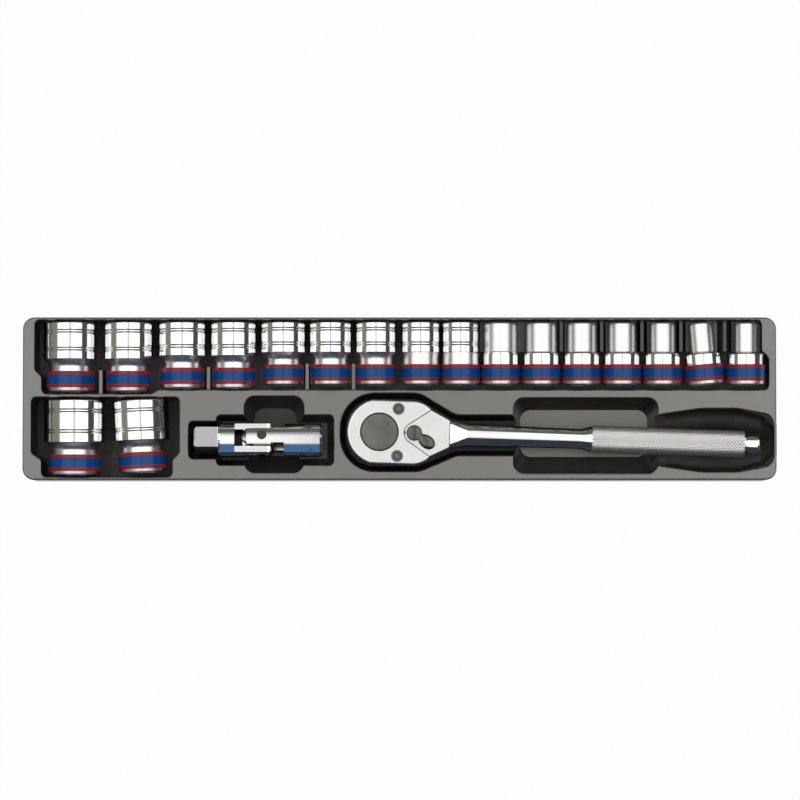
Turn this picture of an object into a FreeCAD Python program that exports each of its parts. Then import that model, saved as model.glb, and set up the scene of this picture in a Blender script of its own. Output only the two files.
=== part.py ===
"""Socket wrench set: eighteen sockets, a reversible ratchet and a universal joint in a formed tray.

Millimetres, +Z up. The origin is at the middle of the tray's footprint, on the surface it rests on.
+X runs along the tray towards the ratchet's handle end, +Y towards the row of sockets.
"""
import FreeCAD, Part
import math
import os

Vector = FreeCAD.Vector
UP = Vector(0, 0, 1)
ALONG = Vector(1, 0, 0)
ACROSS = Vector(0, 1, 0)
ORIGIN = Vector(0, 0, 0)

# Tray
TRAY_HEIGHT = 32.0
TRAY_WALL = 1.6
TRAY_CORNER = 7.5
SKIRT_DRAFT = 0.5
LIP = 0.8
POCKET_CORNER = 3.0
POCKET_DRAFT = 2.0
RECESS_CORNER = 6.5
RECESS_FAR_INSET = 6.4
RECESS_NEAR_INSET = 10.5
RECESS_SIDE_INSET = 5.0
RECESS_FLOOR = 7.0
PROUD = 10.0
SEAT = 0.3
SIDE_CLEARANCE = 0.35
CUT_OVER = 1.0

# Chain of places across the tray, from its far edge to its near edge
ROW_INSET = 3.7
FAR_RIM = 2.4
ROW_END_CLEARANCE = 1.3
RIDGE = 2.4
NEAR_RIM = 2.3
LARGE_NUT_CLEARANCE = 1.5
LARGE_END_CLEARANCE = 1.3

# Chain of places along the tray
ROW_LEFT_MARGIN = 12.65
ROW_RIGHT_MARGIN = 7.05
LARGE_LEFT_MARGIN = 12.75
LARGE_GAP = 4.8
LARGE_TO_JOINT = 15.45
JOINT_TO_RATCHET = 15.2
RATCHET_RIGHT_MARGIN = 11.4
JOINT_FROM_NEAR_EDGE = 24.6
RATCHET_FROM_NEAR_EDGE = 29.5

# Trough and cradle ribs
TROUGH_LEFT_RIM = 7.7
TROUGH_RIGHT_RIM = 5.0
TROUGH_STEP = 4.3
SMALL_END_SHIFT = 2.5
RIB_TOP_WIDTH = 2.0
RIB_DROP = 7.0
NUT_RIB_GAP = 3.8
DRIVE_RIB_GAP = 2.3

# Sockets: across flats, nut-end diameter, collar diameter, length, gap to the next socket
SOCKETS = [
    ("socket_24", 24.0, 32.9, 29.5, 42.0, 3.55),
    ("socket_23", 23.0, 31.2, 27.3, 42.0, 2.1),
    ("socket_22", 22.0, 30.2, 26.8, 40.0, 1.65),
    ("socket_21", 21.0, 29.1, 26.2, 40.0, 1.5),
    ("socket_20", 20.0, 28.5, 24.7, 38.0, 1.25),
    ("socket_19", 19.0, 26.8, 24.6, 38.0, 1.45),
    ("socket_18", 18.0, 25.7, 24.4, 38.0, 2.2),
    ("socket_17", 17.0, 24.1, 24.0, 38.0, 0.4),
    ("socket_16", 16.0, 23.1, 24.0, 38.0, 0.4),
    ("socket_15", 15.0, 21.3, 24.0, 38.0, 0.7),
    ("socket_14", 14.0, 19.9, 24.0, 38.0, 0.7),
    ("socket_13", 13.0, 19.1, 24.0, 38.0, 0.5),
    ("socket_12", 12.0, 17.9, 24.0, 38.0, 0.7),
    ("socket_11", 11.0, 16.5, 24.0, 38.0, 0.6),
    ("socket_10", 10.0, 15.5, 24.0, 38.0, 2.1),
    ("socket_09", 9.0, 14.8, 24.0, 38.0, 0.0),
]
LARGE_SOCKETS = [
    ("socket_28", 28.0, 37.9, 32.9, 45.5, 0.0),
    ("socket_26", 26.0, 34.3, 29.8, 44.0, 0.0),
]
LEAN_OF = {"socket_10": 4.5, "socket_26": 2.5}
SMALL_FROM = 15.0
STRAIGHT_FROM = 17.0
LARGE_WAIST = 1.7
SMALL_WAIST = 6.4
LARGE_CONE = 4.0
SMALL_CONE = 1.6
END_LENGTH = 2.3
END_CHAMFER = 2.0
COLLAR_LENGTH = 9.6
COLLAR_STEP = 0.5
LARGE_WAIST_DROP = 1.9
SMALL_WAIST_DROP = 0.85
RIM_CHAMFER = 0.8
FLATS_CLEARANCE = 0.3
HEX_DEPTH_SHARE = 0.42
DRIVE_SQUARE = 12.7
SQUARE_CLEARANCE = 0.25
SQUARE_DEPTH = 16.0
CORE_WALL = 1.2
CORE_MAX = 12.0

# Ratchet, along its handle from the middle of the gear
RATCHET_YAW = -1.9
HEAD_THICKNESS = 18.0
HEAD_END = 19.8
HEAD_HALF_WIDTH = 19.65
HEAD_FLAT_START = 4.9
HEAD_FLAT_END = 20.5
SHOULDER_X = 31.6
SHOULDER_HALF = 14.5
SHOULDER_BULGE = 1.1
THROAT_X = 42.7
THROAT_HALF = 8.8
NECK_STEP = 0.4
NECK_ROUND = 2.0
NECK_X = 51.7
NECK_BLEND = 2.0
HEAD_ROUND = 1.6
SHANK_START_RADIUS = 6.9
SHANK_END_RADIUS = 6.1
SHANK_END_X = 122.7
GRIP_START_X = 129.1
GRIP_END_X = 221.9
GRIP_RADIUS = 8.0
GRIP_CHAMFER = 0.6
GROOVE_WIDTH = 1.2
GROOVE_RADIUS = 5.6
CAP_RADIUS = 6.25
CAP_CHAMFER = 1.2
HANDLE_END_X = 230.8
PLATE_THICKNESS = 2.6
PLATE_NOTCH_RADIUS = 6.2
HUB_X = 21.2

# Ratchet mechanism
GEAR_TEETH = 36
GEAR_TIP_RADIUS = 12.7
GEAR_ROOT_RADIUS = 11.6
GEAR_FLOOR_WALL = 3.2
GEAR_DISC_RADIUS = 11.35
GEAR_FOOT_RADIUS = 10.5
GEAR_END_PLAY = 0.2
FIT = 0.06
SQUARE_LENGTH = 15.0
SQUARE_CHAMFER = 1.2
TOOTH_CLEARANCE = 0.2
GEAR_ROOM = 0.4
PAWL_OUTER_RADIUS = 17.3
PAWL_HALF_ANGLE = 36.0
PAWL_PIVOT_X = 14.9
PAWL_PIN_RADIUS = 1.2
PAWL_ROCK = 6.0
PAWL_PLAY = 0.3
PAWL_ROOM_CLEARANCE = 1.3
PAWL_ROOM_TURN = 7.0
PAWL_STEPS = 8
LEVER_HUB_RADIUS = 4.7
LEVER_SHAFT_RADIUS = 3.0
LEVER_THICKNESS = 2.6
LEVER_LIFT = 0.15
LEVER_REACH = 14.4
LEVER_TIP_RADIUS = 2.7
LEVER_REST = -38.0
LEVER_ROUND = 0.7
LEVER_SHAFT_DEPTH = 14.5
PLUNGER_RADIUS = 1.25
PLUNGER_TIP = 4.2
PLUNGER_NOSE = 0.7
PLUNGER_BACK = 1.6
PLUNGER_BORE_BACK = 1.5
PLUNGER_SWEEP = 0.3
PLUNGER_TRAVEL = 0.9
PLUNGER_ROOM_HALF_ANGLE = 62.0
SPRING_WIRE = 0.45
SCREW_X = 11.2
SCREW_Y = 14.3
SCREW_HEAD_RADIUS = 3.6
SCREW_HEAD_HEIGHT = 1.7
SCREW_SHANK_RADIUS = 1.5
SCREW_LENGTH = 8.0
SCREW_KEY = 3.0
SCREW_KEY_DEPTH = 1.0

# Detent balls of the two drive squares
BALL_RADIUS = 2.4
BALL_FIT = 0.08
BALL_STAND = 1.1
BALL_TRAVEL = 1.0
BALL_HOLE_DEPTH = 9.2

# Ratchet pockets
HEAD_POCKET_CLEARANCE = 4.0
HEAD_POCKET_ROUND = 21.0
HEAD_POCKET_BEND = 14.0
HEAD_POCKET_DRAFT = 19.0
NECK_POCKET_HALF = 12.2
HEAD_POCKET_END = 75.0
GRIP_RECESS_START = 81.5
GRIP_RECESS_LENGTH = 88.3
GRIP_RECESS_FAR = 20.7
GRIP_RECESS_NEAR = 25.0
HANDLE_POCKET_START = 169.0
HANDLE_POCKET_WAIST = 15.4
HANDLE_POCKET_BELLY = 19.2
HANDLE_POCKET_SWELL = 27.0
HANDLE_POCKET_SWELL_LENGTH = 22.0
HANDLE_POCKET_BEND = 24.0
HANDLE_POCKET_END_HALF = 15.0
HANDLE_POCKET_END_ROUND = 7.0
HANDLE_POCKET_CLEARANCE = 9.4
HANDLE_POCKET_SHIFT = 1.0
SADDLE_LENGTH = 1.6
WELL_CLEARANCE = 1.6

# Universal joint, along its axis from the crossing of its pins
JOINT_ROLL = -18.6
JOINT_RADIUS = 10.2
MALE_TIP = 41.3
MALE_SQUARE_END = 26.6
MALE_FORK_ROOT = 16.6
MALE_FORK_TIP = 7.5
FEMALE_FORK_TIP = 12.3
FEMALE_FORK_ROOT = 13.4
FEMALE_END = 36.3
FORK_HALF_GAP = 5.4
FORK_HALF_WIDTH = 4.6
FORK_NOSE = 3.0
BLOCK_HALF = 5.2
CROSS_PIN_RADIUS = 2.9
PIN_SINK = 0.3
COLLAR_CHAMFER = 1.2

# Universal joint pockets, measured from its axis
TIP_POCKET_HALF = 11.3
TIP_POCKET_LENGTH = 16.8
TIP_POCKET_CLEARANCE = 3.7
BODY_POCKET_HALF = 15.2
BODY_POCKET_CLEARANCE = 7.2
JOINT_POCKET_DRAFT = 18.0
JOINT_POCKET_OVERLAP = 12.0
JOINT_RECESS_LEFT = 11.1
JOINT_RECESS_RIGHT = 25.4
JOINT_RECESS_FAR = 26.6
JOINT_RECESS_NEAR = 19.7
SWING_ROOM = 3.0


def rotated(shape, center, axis, angle):
    turned = shape.copy()
    turned.rotate(center, axis, angle)
    return turned


def moved(shape, offset):
    shifted = shape.copy()
    shifted.translate(offset)
    return shifted


def fused(shapes):
    whole = shapes[0]
    if len(shapes) > 1:
        whole = whole.multiFuse(shapes[1:])
    return whole.removeSplitter()


def polygon_face(points):
    """A face in any plane from a list of vectors."""
    return Part.Face(Part.makePolygon(points + points[:1]))


def slab(low, high):
    """An upright box between two corners."""
    size = high - low
    return Part.makeBox(size.x, size.y, size.z, low)


def cylinder(radius, start, end):
    """A round bar from one point to another."""
    direction = end - start
    return Part.makeCylinder(radius, direction.Length, start, direction)


def sector(radius_in, radius_out, half_angle, low, high):
    """A slice of a ring about the Z axis, centred on +X."""
    outer = Part.makeCylinder(radius_out, high - low, Vector(0, 0, low), UP, 2 * half_angle)
    inner = Part.makeCylinder(radius_in, high - low, Vector(0, 0, low), UP)
    return rotated(outer, ORIGIN, UP, -half_angle).cut(inner)


def offset_corners(points, grow):
    """Moves every edge of an anticlockwise outline outwards and meets the edges again."""
    corners = []
    count = len(points)
    for i in range(count):
        before, here, after = points[i - 1], points[i], points[(i + 1) % count]
        run_in = (here - before).normalize()
        run_out = (after - here).normalize()
        out_in = Vector(run_in.y, -run_in.x, 0)
        out_out = Vector(run_out.y, -run_out.x, 0)
        corners.append(here + (out_in + out_out) * (grow / (1 + out_in.dot(out_out))))
    return corners


def rounded_outline(points, radius, z, grow=0.0):
    """A closed wire of straight runs and corner arcs, grown outwards from an anticlockwise outline.

    A point may bring a radius of its own as its third number.
    """
    corners = offset_corners([Vector(point[0], point[1], 0) for point in points], grow)
    lift = Vector(0, 0, z)
    starts, ends, middles = [], [], []
    count = len(corners)
    for i in range(count):
        here = corners[i]
        back = (corners[i - 1] - here).normalize()
        ahead = (corners[(i + 1) % count] - here).normalize()
        convex = back.cross(ahead).z < 0
        own = points[i][2] if len(points[i]) > 2 else radius
        bend = max(own + grow if convex else own - grow, LIP / 2)
        half = back.getAngle(ahead) / 2
        reach = bend / math.tan(half)
        inward = (back + ahead).normalize()
        starts.append(here + back * reach + lift)
        ends.append(here + ahead * reach + lift)
        middles.append(here + inward * (bend / math.sin(half) - bend) + lift)
    edges = []
    for i in range(count):
        edges.append(Part.Arc(starts[i], middles[i], ends[i]).toShape())
        edges.append(Part.LineSegment(ends[i], starts[(i + 1) % count]).toShape())
    return Part.Wire(edges)


def lofted(points, radius, sections):
    """A ruled solid through copies of one outline, each at its own height and growth."""
    return Part.makeLoft([rounded_outline(points, radius, z, grow) for z, grow in sections], True, True)


def rectangle(left, right, near, far):
    return [(left, near), (right, near), (right, far), (left, far)]


def lip_sections(top, grow, turn):
    """Three heights that round an edge over: outwards for a pocket (turn 1), inwards for the skirt (-1)."""
    ease = 1 - math.sqrt(0.5)
    return [
        (top - LIP, grow),
        (top - LIP * ease, grow + turn * LIP * ease),
        (top, grow + turn * LIP),
    ]


def pocket(points, floor, radius=POCKET_CORNER, draft=POCKET_DRAFT, base=None):
    """The hollow of a pocket: sloping walls from its floor and a rounded lip at the top face.

    The floor is the outline drawn in by the draft, or the outline given as base.
    """
    inset = (TRAY_HEIGHT - LIP - floor) * math.tan(math.radians(draft))
    foot = rounded_outline(base, radius, floor) if base else rounded_outline(points, radius, floor, -inset)
    sections = lip_sections(TRAY_HEIGHT, 0, 1) + [(TRAY_HEIGHT + CUT_OVER, LIP)]
    upper = [rounded_outline(points, radius, z, grow) for z, grow in sections]
    return Part.makeLoft([foot] + upper, True, True)


def pocket_skin(points, floor, radius=POCKET_CORNER, draft=POCKET_DRAFT, base=None):
    """The outside of the sheet that forms a pocket, one wall larger than its hollow."""
    inset = (TRAY_HEIGHT - LIP - floor) * math.tan(math.radians(draft))
    low = floor - TRAY_WALL
    foot = rounded_outline(base or points, radius, low, TRAY_WALL if base else TRAY_WALL - inset)
    rim = rounded_outline(points, radius, TRAY_HEIGHT - LIP, TRAY_WALL)
    return Part.makeLoft([foot, rim], True, True)


def cradle_line(places, halves, floors, left, right, rib_gap, drop):
    """The stepped floor under a row of sockets, seen along Y, with ribs where neighbours leave room."""
    top = TRAY_HEIGHT + 2 * CUT_OVER
    rib_z = TRAY_HEIGHT - RIB_DROP
    line = [Vector(left, 0, top), Vector(left, 0, floors[0] - drop)]
    for i in range(len(places) - 1):
        near_edge = places[i] + halves[i]
        far_edge = places[i + 1] - halves[i + 1]
        middle = (near_edge + far_edge) / 2
        if drop == 0 and far_edge - near_edge > rib_gap:
            line.append(Vector(near_edge, 0, floors[i]))
            line.append(Vector(middle - RIB_TOP_WIDTH / 2, 0, rib_z))
            line.append(Vector(middle + RIB_TOP_WIDTH / 2, 0, rib_z))
            line.append(Vector(far_edge, 0, floors[i + 1]))
        elif abs(floors[i] - floors[i + 1]) > FIT:
            step_x = middle + math.copysign(drop, floors[i + 1] - floors[i])
            line.append(Vector(step_x, 0, floors[i] - drop))
            line.append(Vector(step_x, 0, floors[i + 1] - drop))
    line.append(Vector(right, 0, floors[-1] - drop))
    line.append(Vector(right, 0, top))
    return line


def prism(line, near, far):
    """A profile in the XZ plane, carried along Y."""
    face = polygon_face([point + ACROSS * near for point in line])
    return face.extrude(ACROSS * (far - near))


class Socket:
    """One socket's sizes and where it lies."""

    def __init__(self, row, x, nut_face):
        self.name, self.flats, nut, collar, self.length, self.gap = row
        self.nut_radius = nut / 2
        self.collar_radius = collar / 2
        self.reach = max(self.nut_radius, self.collar_radius)
        self.small = self.flats <= SMALL_FROM
        self.x = x
        self.z = TRAY_HEIGHT + PROUD - self.reach
        self.nut_face = nut_face
        self.drive_end = nut_face - self.length
        self.lean = LEAN_OF.get(self.name, 0.0)
        self.waist_start = END_LENGTH + COLLAR_LENGTH + COLLAR_STEP
        self.cone_start = self.waist_start + (SMALL_WAIST if self.small else LARGE_WAIST)
        self.nut_start = self.cone_start + (SMALL_CONE if self.small else LARGE_CONE)
        self.core = min(CORE_MAX, self.flats - CORE_WALL)

    def spread(self):
        """Half the extra width that a leaning socket takes at each end."""
        return math.sin(math.radians(self.lean)) * self.length / 2

    def split(self):
        """Where the floor under the collar gives way to the floor under the nut end."""
        if self.small:
            return self.drive_end + self.nut_start + SEAT
        return self.drive_end + (self.waist_start + self.cone_start) / 2

    def nut_floor(self):
        return self.z - self.nut_radius - SEAT

    def collar_floor(self):
        return self.z - self.collar_radius - SEAT

    def shape(self):
        """A turned body with a hexagon at the nut end, a square at the drive end and a core between."""
        waist = self.collar_radius
        waist -= SMALL_WAIST_DROP if self.flats <= STRAIGHT_FROM else LARGE_WAIST_DROP
        collar_end = END_LENGTH + COLLAR_LENGTH
        profile = [
            Vector(0, 0, 0),
            Vector(self.collar_radius - END_CHAMFER, 0, 0),
            Vector(self.collar_radius, END_LENGTH, 0),
            Vector(self.collar_radius, collar_end, 0),
            Vector(waist, self.waist_start, 0),
            Vector(waist, self.cone_start, 0),
            Vector(self.nut_radius, self.nut_start, 0),
            Vector(self.nut_radius, self.length - RIM_CHAMFER, 0),
            Vector(self.nut_radius - RIM_CHAMFER, self.length, 0),
            Vector(0, self.length, 0),
        ]
        body = polygon_face(profile).revolve(ORIGIN, ACROSS, 360)
        corner = (self.flats + FLATS_CLEARANCE) / 2 / math.cos(math.pi / 6)
        hex_depth = self.length * HEX_DEPTH_SHARE
        around = [math.radians(60 * k) for k in range(6)]
        hexagon = polygon_face(
            [Vector(corner * math.cos(a), self.length + CUT_OVER, corner * math.sin(a)) for a in around]
        ).extrude(ACROSS * -(hex_depth + CUT_OVER))
        half = (DRIVE_SQUARE + SQUARE_CLEARANCE) / 2
        square = slab(Vector(-half, -CUT_OVER, -half), Vector(half, SQUARE_DEPTH, half))
        core = cylinder(self.core / 2, ORIGIN, ACROSS * self.length)
        body = body.cut([hexagon, square, core])
        body.translate(Vector(self.x, self.drive_end, self.z))
        middle = Vector(self.x, self.drive_end + self.length / 2, self.z)
        return rotated(body, middle, UP, self.lean)


def place_row(rows, left, nut_face, gap=None):
    """Sockets side by side from a left edge, each gap from the row or one gap for all."""
    placed = []
    edge = left
    for row in rows:
        socket = Socket(row, 0, nut_face)
        socket.x = edge + socket.reach
        edge = socket.x + socket.reach + (socket.gap if gap is None else gap)
        placed.append(socket)
    return placed


def row_length(rows, gap=None):
    """From the first socket's edge to the last one's."""
    widths = [max(row[2], row[3]) for row in rows]
    gaps = [row[5] if gap is None else gap for row in rows[:-1]]
    return sum(widths) + sum(gaps)


# Overall size, from what lies in the tray
longest = max(row[4] for row in SOCKETS)
longest_large = max(row[4] for row in LARGE_SOCKETS)
TRAY_WIDTH = (
    ROW_INSET + longest + ROW_END_CLEARANCE + RIDGE
    + LARGE_NUT_CLEARANCE + longest_large + LARGE_END_CLEARANCE + NEAR_RIM
)
upper_length = ROW_LEFT_MARGIN + row_length(SOCKETS) + ROW_RIGHT_MARGIN
lower_length = (
    LARGE_LEFT_MARGIN + row_length(LARGE_SOCKETS, LARGE_GAP) + LARGE_TO_JOINT + MALE_TIP + FEMALE_END
    + JOINT_TO_RATCHET + HEAD_END + HANDLE_END_X + RATCHET_RIGHT_MARGIN
)
TRAY_LENGTH = max(upper_length, lower_length)

left_edge = -TRAY_LENGTH / 2
right_edge = TRAY_LENGTH / 2
far_edge = TRAY_WIDTH / 2
near_edge = -TRAY_WIDTH / 2

sockets = place_row(SOCKETS, left_edge + ROW_LEFT_MARGIN, far_edge - ROW_INSET)
trough_near = far_edge - ROW_INSET - longest - ROW_END_CLEARANCE
large_top = trough_near - RIDGE
large_sockets = place_row(
    LARGE_SOCKETS, left_edge + LARGE_LEFT_MARGIN, large_top - LARGE_NUT_CLEARANCE, LARGE_GAP
)
large_right = large_sockets[-1].x + large_sockets[-1].reach

joint_at = Vector(
    large_right + LARGE_TO_JOINT + MALE_TIP,
    near_edge + JOINT_FROM_NEAR_EDGE,
    TRAY_HEIGHT + PROUD - JOINT_RADIUS,
)
ratchet_at = Vector(
    joint_at.x + FEMALE_END + JOINT_TO_RATCHET + HEAD_END,
    near_edge + RATCHET_FROM_NEAR_EDGE,
    TRAY_HEIGHT + PROUD - HEAD_THICKNESS / 2 - LEVER_THICKNESS / 2,
)
half_head = HEAD_THICKNESS / 2


def in_joint(shape):
    """Turns and moves a shape from the universal joint's own axes to where it lies."""
    return moved(rotated(shape, ORIGIN, ALONG, JOINT_ROLL), joint_at)


def in_ratchet(shape):
    """Turns and moves a shape from the ratchet's own axes to where it lies."""
    return moved(rotated(shape, ORIGIN, UP, RATCHET_YAW), ratchet_at)


def tray_halves(row, nut):
    radius = "nut_radius" if nut else "collar_radius"
    return [getattr(s, radius) + SIDE_CLEARANCE + s.spread() for s in row]


def alike(row):
    """The row in runs of neighbours whose floors change at the same place."""
    runs = [[row[0]]]
    for socket in row[1:]:
        if abs(socket.split() - runs[-1][-1].split()) < FIT:
            runs[-1].append(socket)
        else:
            runs.append([socket])
    return runs


def run_bed(row, left, right, drop):
    """The space over a run's floors: one stepped prism under the nut ends, one under the drive ends."""
    places = [s.x for s in row]
    split = row[0].split()
    nut_line = cradle_line(
        places, tray_halves(row, True), [s.nut_floor() for s in row], left, right, NUT_RIB_GAP, drop
    )
    drive_line = cradle_line(
        places, tray_halves(row, False), [s.collar_floor() for s in row], left, right, DRIVE_RIB_GAP, drop
    )
    return [prism(nut_line, split - drop, far_edge), prism(drive_line, near_edge, split + FIT + drop)]


def row_bed(row, drop):
    """The space over all of a row's floors, run by run."""
    runs = alike(row)
    seams = [left_edge]
    for before, after in zip(runs, runs[1:]):
        seams.append((before[-1].x + before[-1].reach + after[0].x - after[0].reach) / 2)
    seams.append(right_edge)
    beds = []
    for i, run in enumerate(runs):
        beds += run_bed(run, seams[i] - drop, seams[i + 1] + FIT + drop, drop)
    return fused(beds)


def trough_outline():
    """The socket row's pocket: wider at the nut ends of the large sockets and at the last drive end."""
    left = left_edge + TROUGH_LEFT_RIM
    right = right_edge - TROUGH_RIGHT_RIM
    far = far_edge - FAR_RIM
    small = next(s for s in sockets if s.length < longest)
    step_x = (small.x + sockets[sockets.index(small) - 1].x) / 2
    near_small = trough_near + SMALL_END_SHIFT
    last_split = sockets[-1].split()
    first_split = sockets[0].split()
    return [
        (left + TROUGH_STEP, trough_near),
        (step_x - SMALL_END_SHIFT, trough_near),
        (step_x + SMALL_END_SHIFT, near_small),
        (right, near_small),
        (right, last_split - TROUGH_STEP),
        (right - TROUGH_STEP, last_split),
        (right - TROUGH_STEP, far),
        (left, far),
        (left, first_split),
        (left + TROUGH_STEP, first_split - TROUGH_STEP),
    ]


def trough(grown):
    """The hollow of the socket row, or the outside of its sheet when grown."""
    outline = trough_outline()
    low = min(s.nut_floor() for s in sockets) - 2 * TRAY_WALL
    hull = (pocket_skin if grown else pocket)(outline, low)
    return hull.common(row_bed(sockets, TRAY_WALL if grown else 0))


def large_pocket(grown):
    """The pocket of the two largest sockets, drawn in beside their drive ends."""
    last = large_sockets[-1]
    near = near_edge + NEAR_RIM
    split = large_sockets[0].split()
    left = left_edge + TROUGH_LEFT_RIM - RIB_TOP_WIDTH
    right = last.x + last.reach + TROUGH_STEP + RIB_TOP_WIDTH
    outline = [
        (left + TROUGH_STEP + RIB_TOP_WIDTH, near),
        (right - TROUGH_STEP, near),
        (right - TROUGH_STEP, split - TROUGH_STEP),
        (right, split),
        (right, large_top),
        (left, large_top),
        (left, split),
        (left + TROUGH_STEP + RIB_TOP_WIDTH, split - TROUGH_STEP),
    ]
    low = min(s.nut_floor() for s in large_sockets) - 2 * TRAY_WALL
    hull = (pocket_skin if grown else pocket)(outline, low)
    return hull.common(row_bed(large_sockets, TRAY_WALL if grown else 0))


def joint_pockets(maker):
    """Seats for the square and the collar, a deeper bed for the free half and a finger recess."""
    x, y = joint_at.x, joint_at.y
    seat = joint_at.z - JOINT_RADIUS - SEAT
    tip_left = x - MALE_TIP - TIP_POCKET_CLEARANCE
    body_left = tip_left + TIP_POCKET_LENGTH
    recess_left = x - JOINT_RECESS_LEFT
    recess_right = x + JOINT_RECESS_RIGHT
    body_right = x + FEMALE_END + BODY_POCKET_CLEARANCE
    overlap = JOINT_POCKET_OVERLAP
    tip = rectangle(tip_left, body_left + overlap, y - TIP_POCKET_HALF, y + TIP_POCKET_HALF)
    body = rectangle(body_left, recess_left + overlap, y - BODY_POCKET_HALF, y + BODY_POCKET_HALF)
    free = rectangle(recess_left, body_right, y - BODY_POCKET_HALF, y + BODY_POCKET_HALF)
    recess = rectangle(recess_left, recess_right, y - JOINT_RECESS_NEAR, y + JOINT_RECESS_FAR)
    return [
        maker(tip, seat, POCKET_CORNER, JOINT_POCKET_DRAFT),
        maker(body, seat, POCKET_CORNER, JOINT_POCKET_DRAFT),
        maker(free, seat - SWING_ROOM, POCKET_CORNER, JOINT_POCKET_DRAFT),
        maker(recess, RECESS_FLOOR, RECESS_CORNER, base=recess_floor(recess)),
    ]


def recess_floor(outline):
    """The floor of a finger recess: its near wall slopes most, and its far wall more than its ends."""
    left, near = outline[0]
    right, far = outline[2]
    return rectangle(
        left + RECESS_SIDE_INSET, right - RECESS_SIDE_INSET, near + RECESS_NEAR_INSET, far - RECESS_FAR_INSET,
    )


def ratchet_pockets(maker):
    """Pockets for the head and neck, the middle of the handle and the handle's end."""
    x, y = ratchet_at.x, ratchet_at.y
    room = HEAD_POCKET_CLEARANCE
    half = HEAD_HALF_WIDTH + room
    end = HEAD_END + room
    throat = x + THROAT_X + room
    right = x + HEAD_POCKET_END + 2 * RECESS_CORNER + room
    near = y - NECK_POCKET_HALF - room / 2
    far = y + NECK_POCKET_HALF - room / 2
    head = [
        (x - end, y - half, HEAD_POCKET_ROUND),
        (x + HEAD_FLAT_END + room, y - half, HEAD_POCKET_BEND),
        (throat, near, HEAD_POCKET_BEND),
        (right, near),
        (right, far),
        (throat, far, HEAD_POCKET_BEND),
        (x + HEAD_FLAT_END + room, y + half, HEAD_POCKET_BEND),
        (x - end, y + half, HEAD_POCKET_ROUND),
    ]
    recess_left = x + GRIP_RECESS_START
    recess_right = recess_left + GRIP_RECESS_LENGTH
    recess = rectangle(recess_left, recess_right, y - GRIP_RECESS_NEAR, y + GRIP_RECESS_FAR)
    start, _, _, axis = bowl_line()
    saddle = rectangle(
        start - RECESS_CORNER, start + SADDLE_LENGTH + 2 * POCKET_CORNER,
        axis - HANDLE_POCKET_WAIST, axis + HANDLE_POCKET_WAIST,
    )
    return [
        maker(head, ratchet_at.z - half_head - SEAT, POCKET_CORNER, HEAD_POCKET_DRAFT),
        maker(recess, RECESS_FLOOR, RECESS_CORNER, base=recess_floor(recess)),
        maker(saddle, ratchet_at.z - GRIP_RADIUS - SEAT),
    ]


def bowl_line():
    """Where the bowl under the handle's end starts and ends, its half widths between, and its middle line."""
    drift = math.tan(math.radians(RATCHET_YAW))
    start = ratchet_at.x + HANDLE_POCKET_START
    tail = ratchet_at.x + HANDLE_END_X + HANDLE_POCKET_CLEARANCE
    axis = ratchet_at.y + drift * (HANDLE_END_X + GRIP_START_X) / 2 + HANDLE_POCKET_SHIFT
    swell = start + HANDLE_POCKET_SWELL
    widths = [
        (start, HANDLE_POCKET_WAIST),
        (swell, HANDLE_POCKET_BELLY),
        (swell + HANDLE_POCKET_SWELL_LENGTH, HANDLE_POCKET_BELLY),
        (tail, HANDLE_POCKET_END_HALF),
    ]
    return start, tail, widths, axis


def handle_bowl(grow):
    """A half barrel under the end of the handle, as a hollow or one wall larger."""
    start, tail, widths, axis = bowl_line()
    level = ratchet_at.z
    first = start + SADDLE_LENGTH - grow
    rounding = HANDLE_POCKET_END_ROUND
    line = [Vector(first, axis, level), Vector(first, axis, level - HANDLE_POCKET_WAIST - grow)]
    for x, half in widths[1:-1]:
        line.append(Vector(x, axis, level - half - grow))
    line += [
        Vector(tail - rounding, axis, level - HANDLE_POCKET_END_HALF - grow),
        Vector(tail + grow, axis, level - HANDLE_POCKET_END_HALF + rounding - grow),
        Vector(tail + grow, axis, level),
    ]
    face = rotated(polygon_face(line), line[0], ALONG, -90)
    return face.revolve(line[0], ALONG, 180)


def bowl_lip():
    """The rounded edge where the bowl meets the top face."""
    start, tail, widths, axis = bowl_line()
    bends = [POCKET_CORNER, HANDLE_POCKET_BEND, HANDLE_POCKET_BEND, HANDLE_POCKET_END_ROUND]
    near_side = [(x, axis - half, bend) for (x, half), bend in zip(widths, bends)]
    far_side = [(x, 2 * axis - y, bend) for x, y, bend in reversed(near_side)]
    sections = lip_sections(TRAY_HEIGHT, 0, 1) + [(TRAY_HEIGHT + CUT_OVER, LIP)]
    return lofted(near_side + far_side, POCKET_CORNER, sections)


def square_well(grow):
    """The round well under the ratchet's square, with room for the square to turn."""
    radius = DRIVE_SQUARE / math.sqrt(2) + WELL_CLEARANCE + grow
    floor = ratchet_at.z - half_head - SQUARE_LENGTH - SEAT - grow
    top = ratchet_at.z - half_head
    x, y = ratchet_at.x, ratchet_at.y
    return cylinder(radius, Vector(x, y, floor), Vector(x, y, top))


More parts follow.
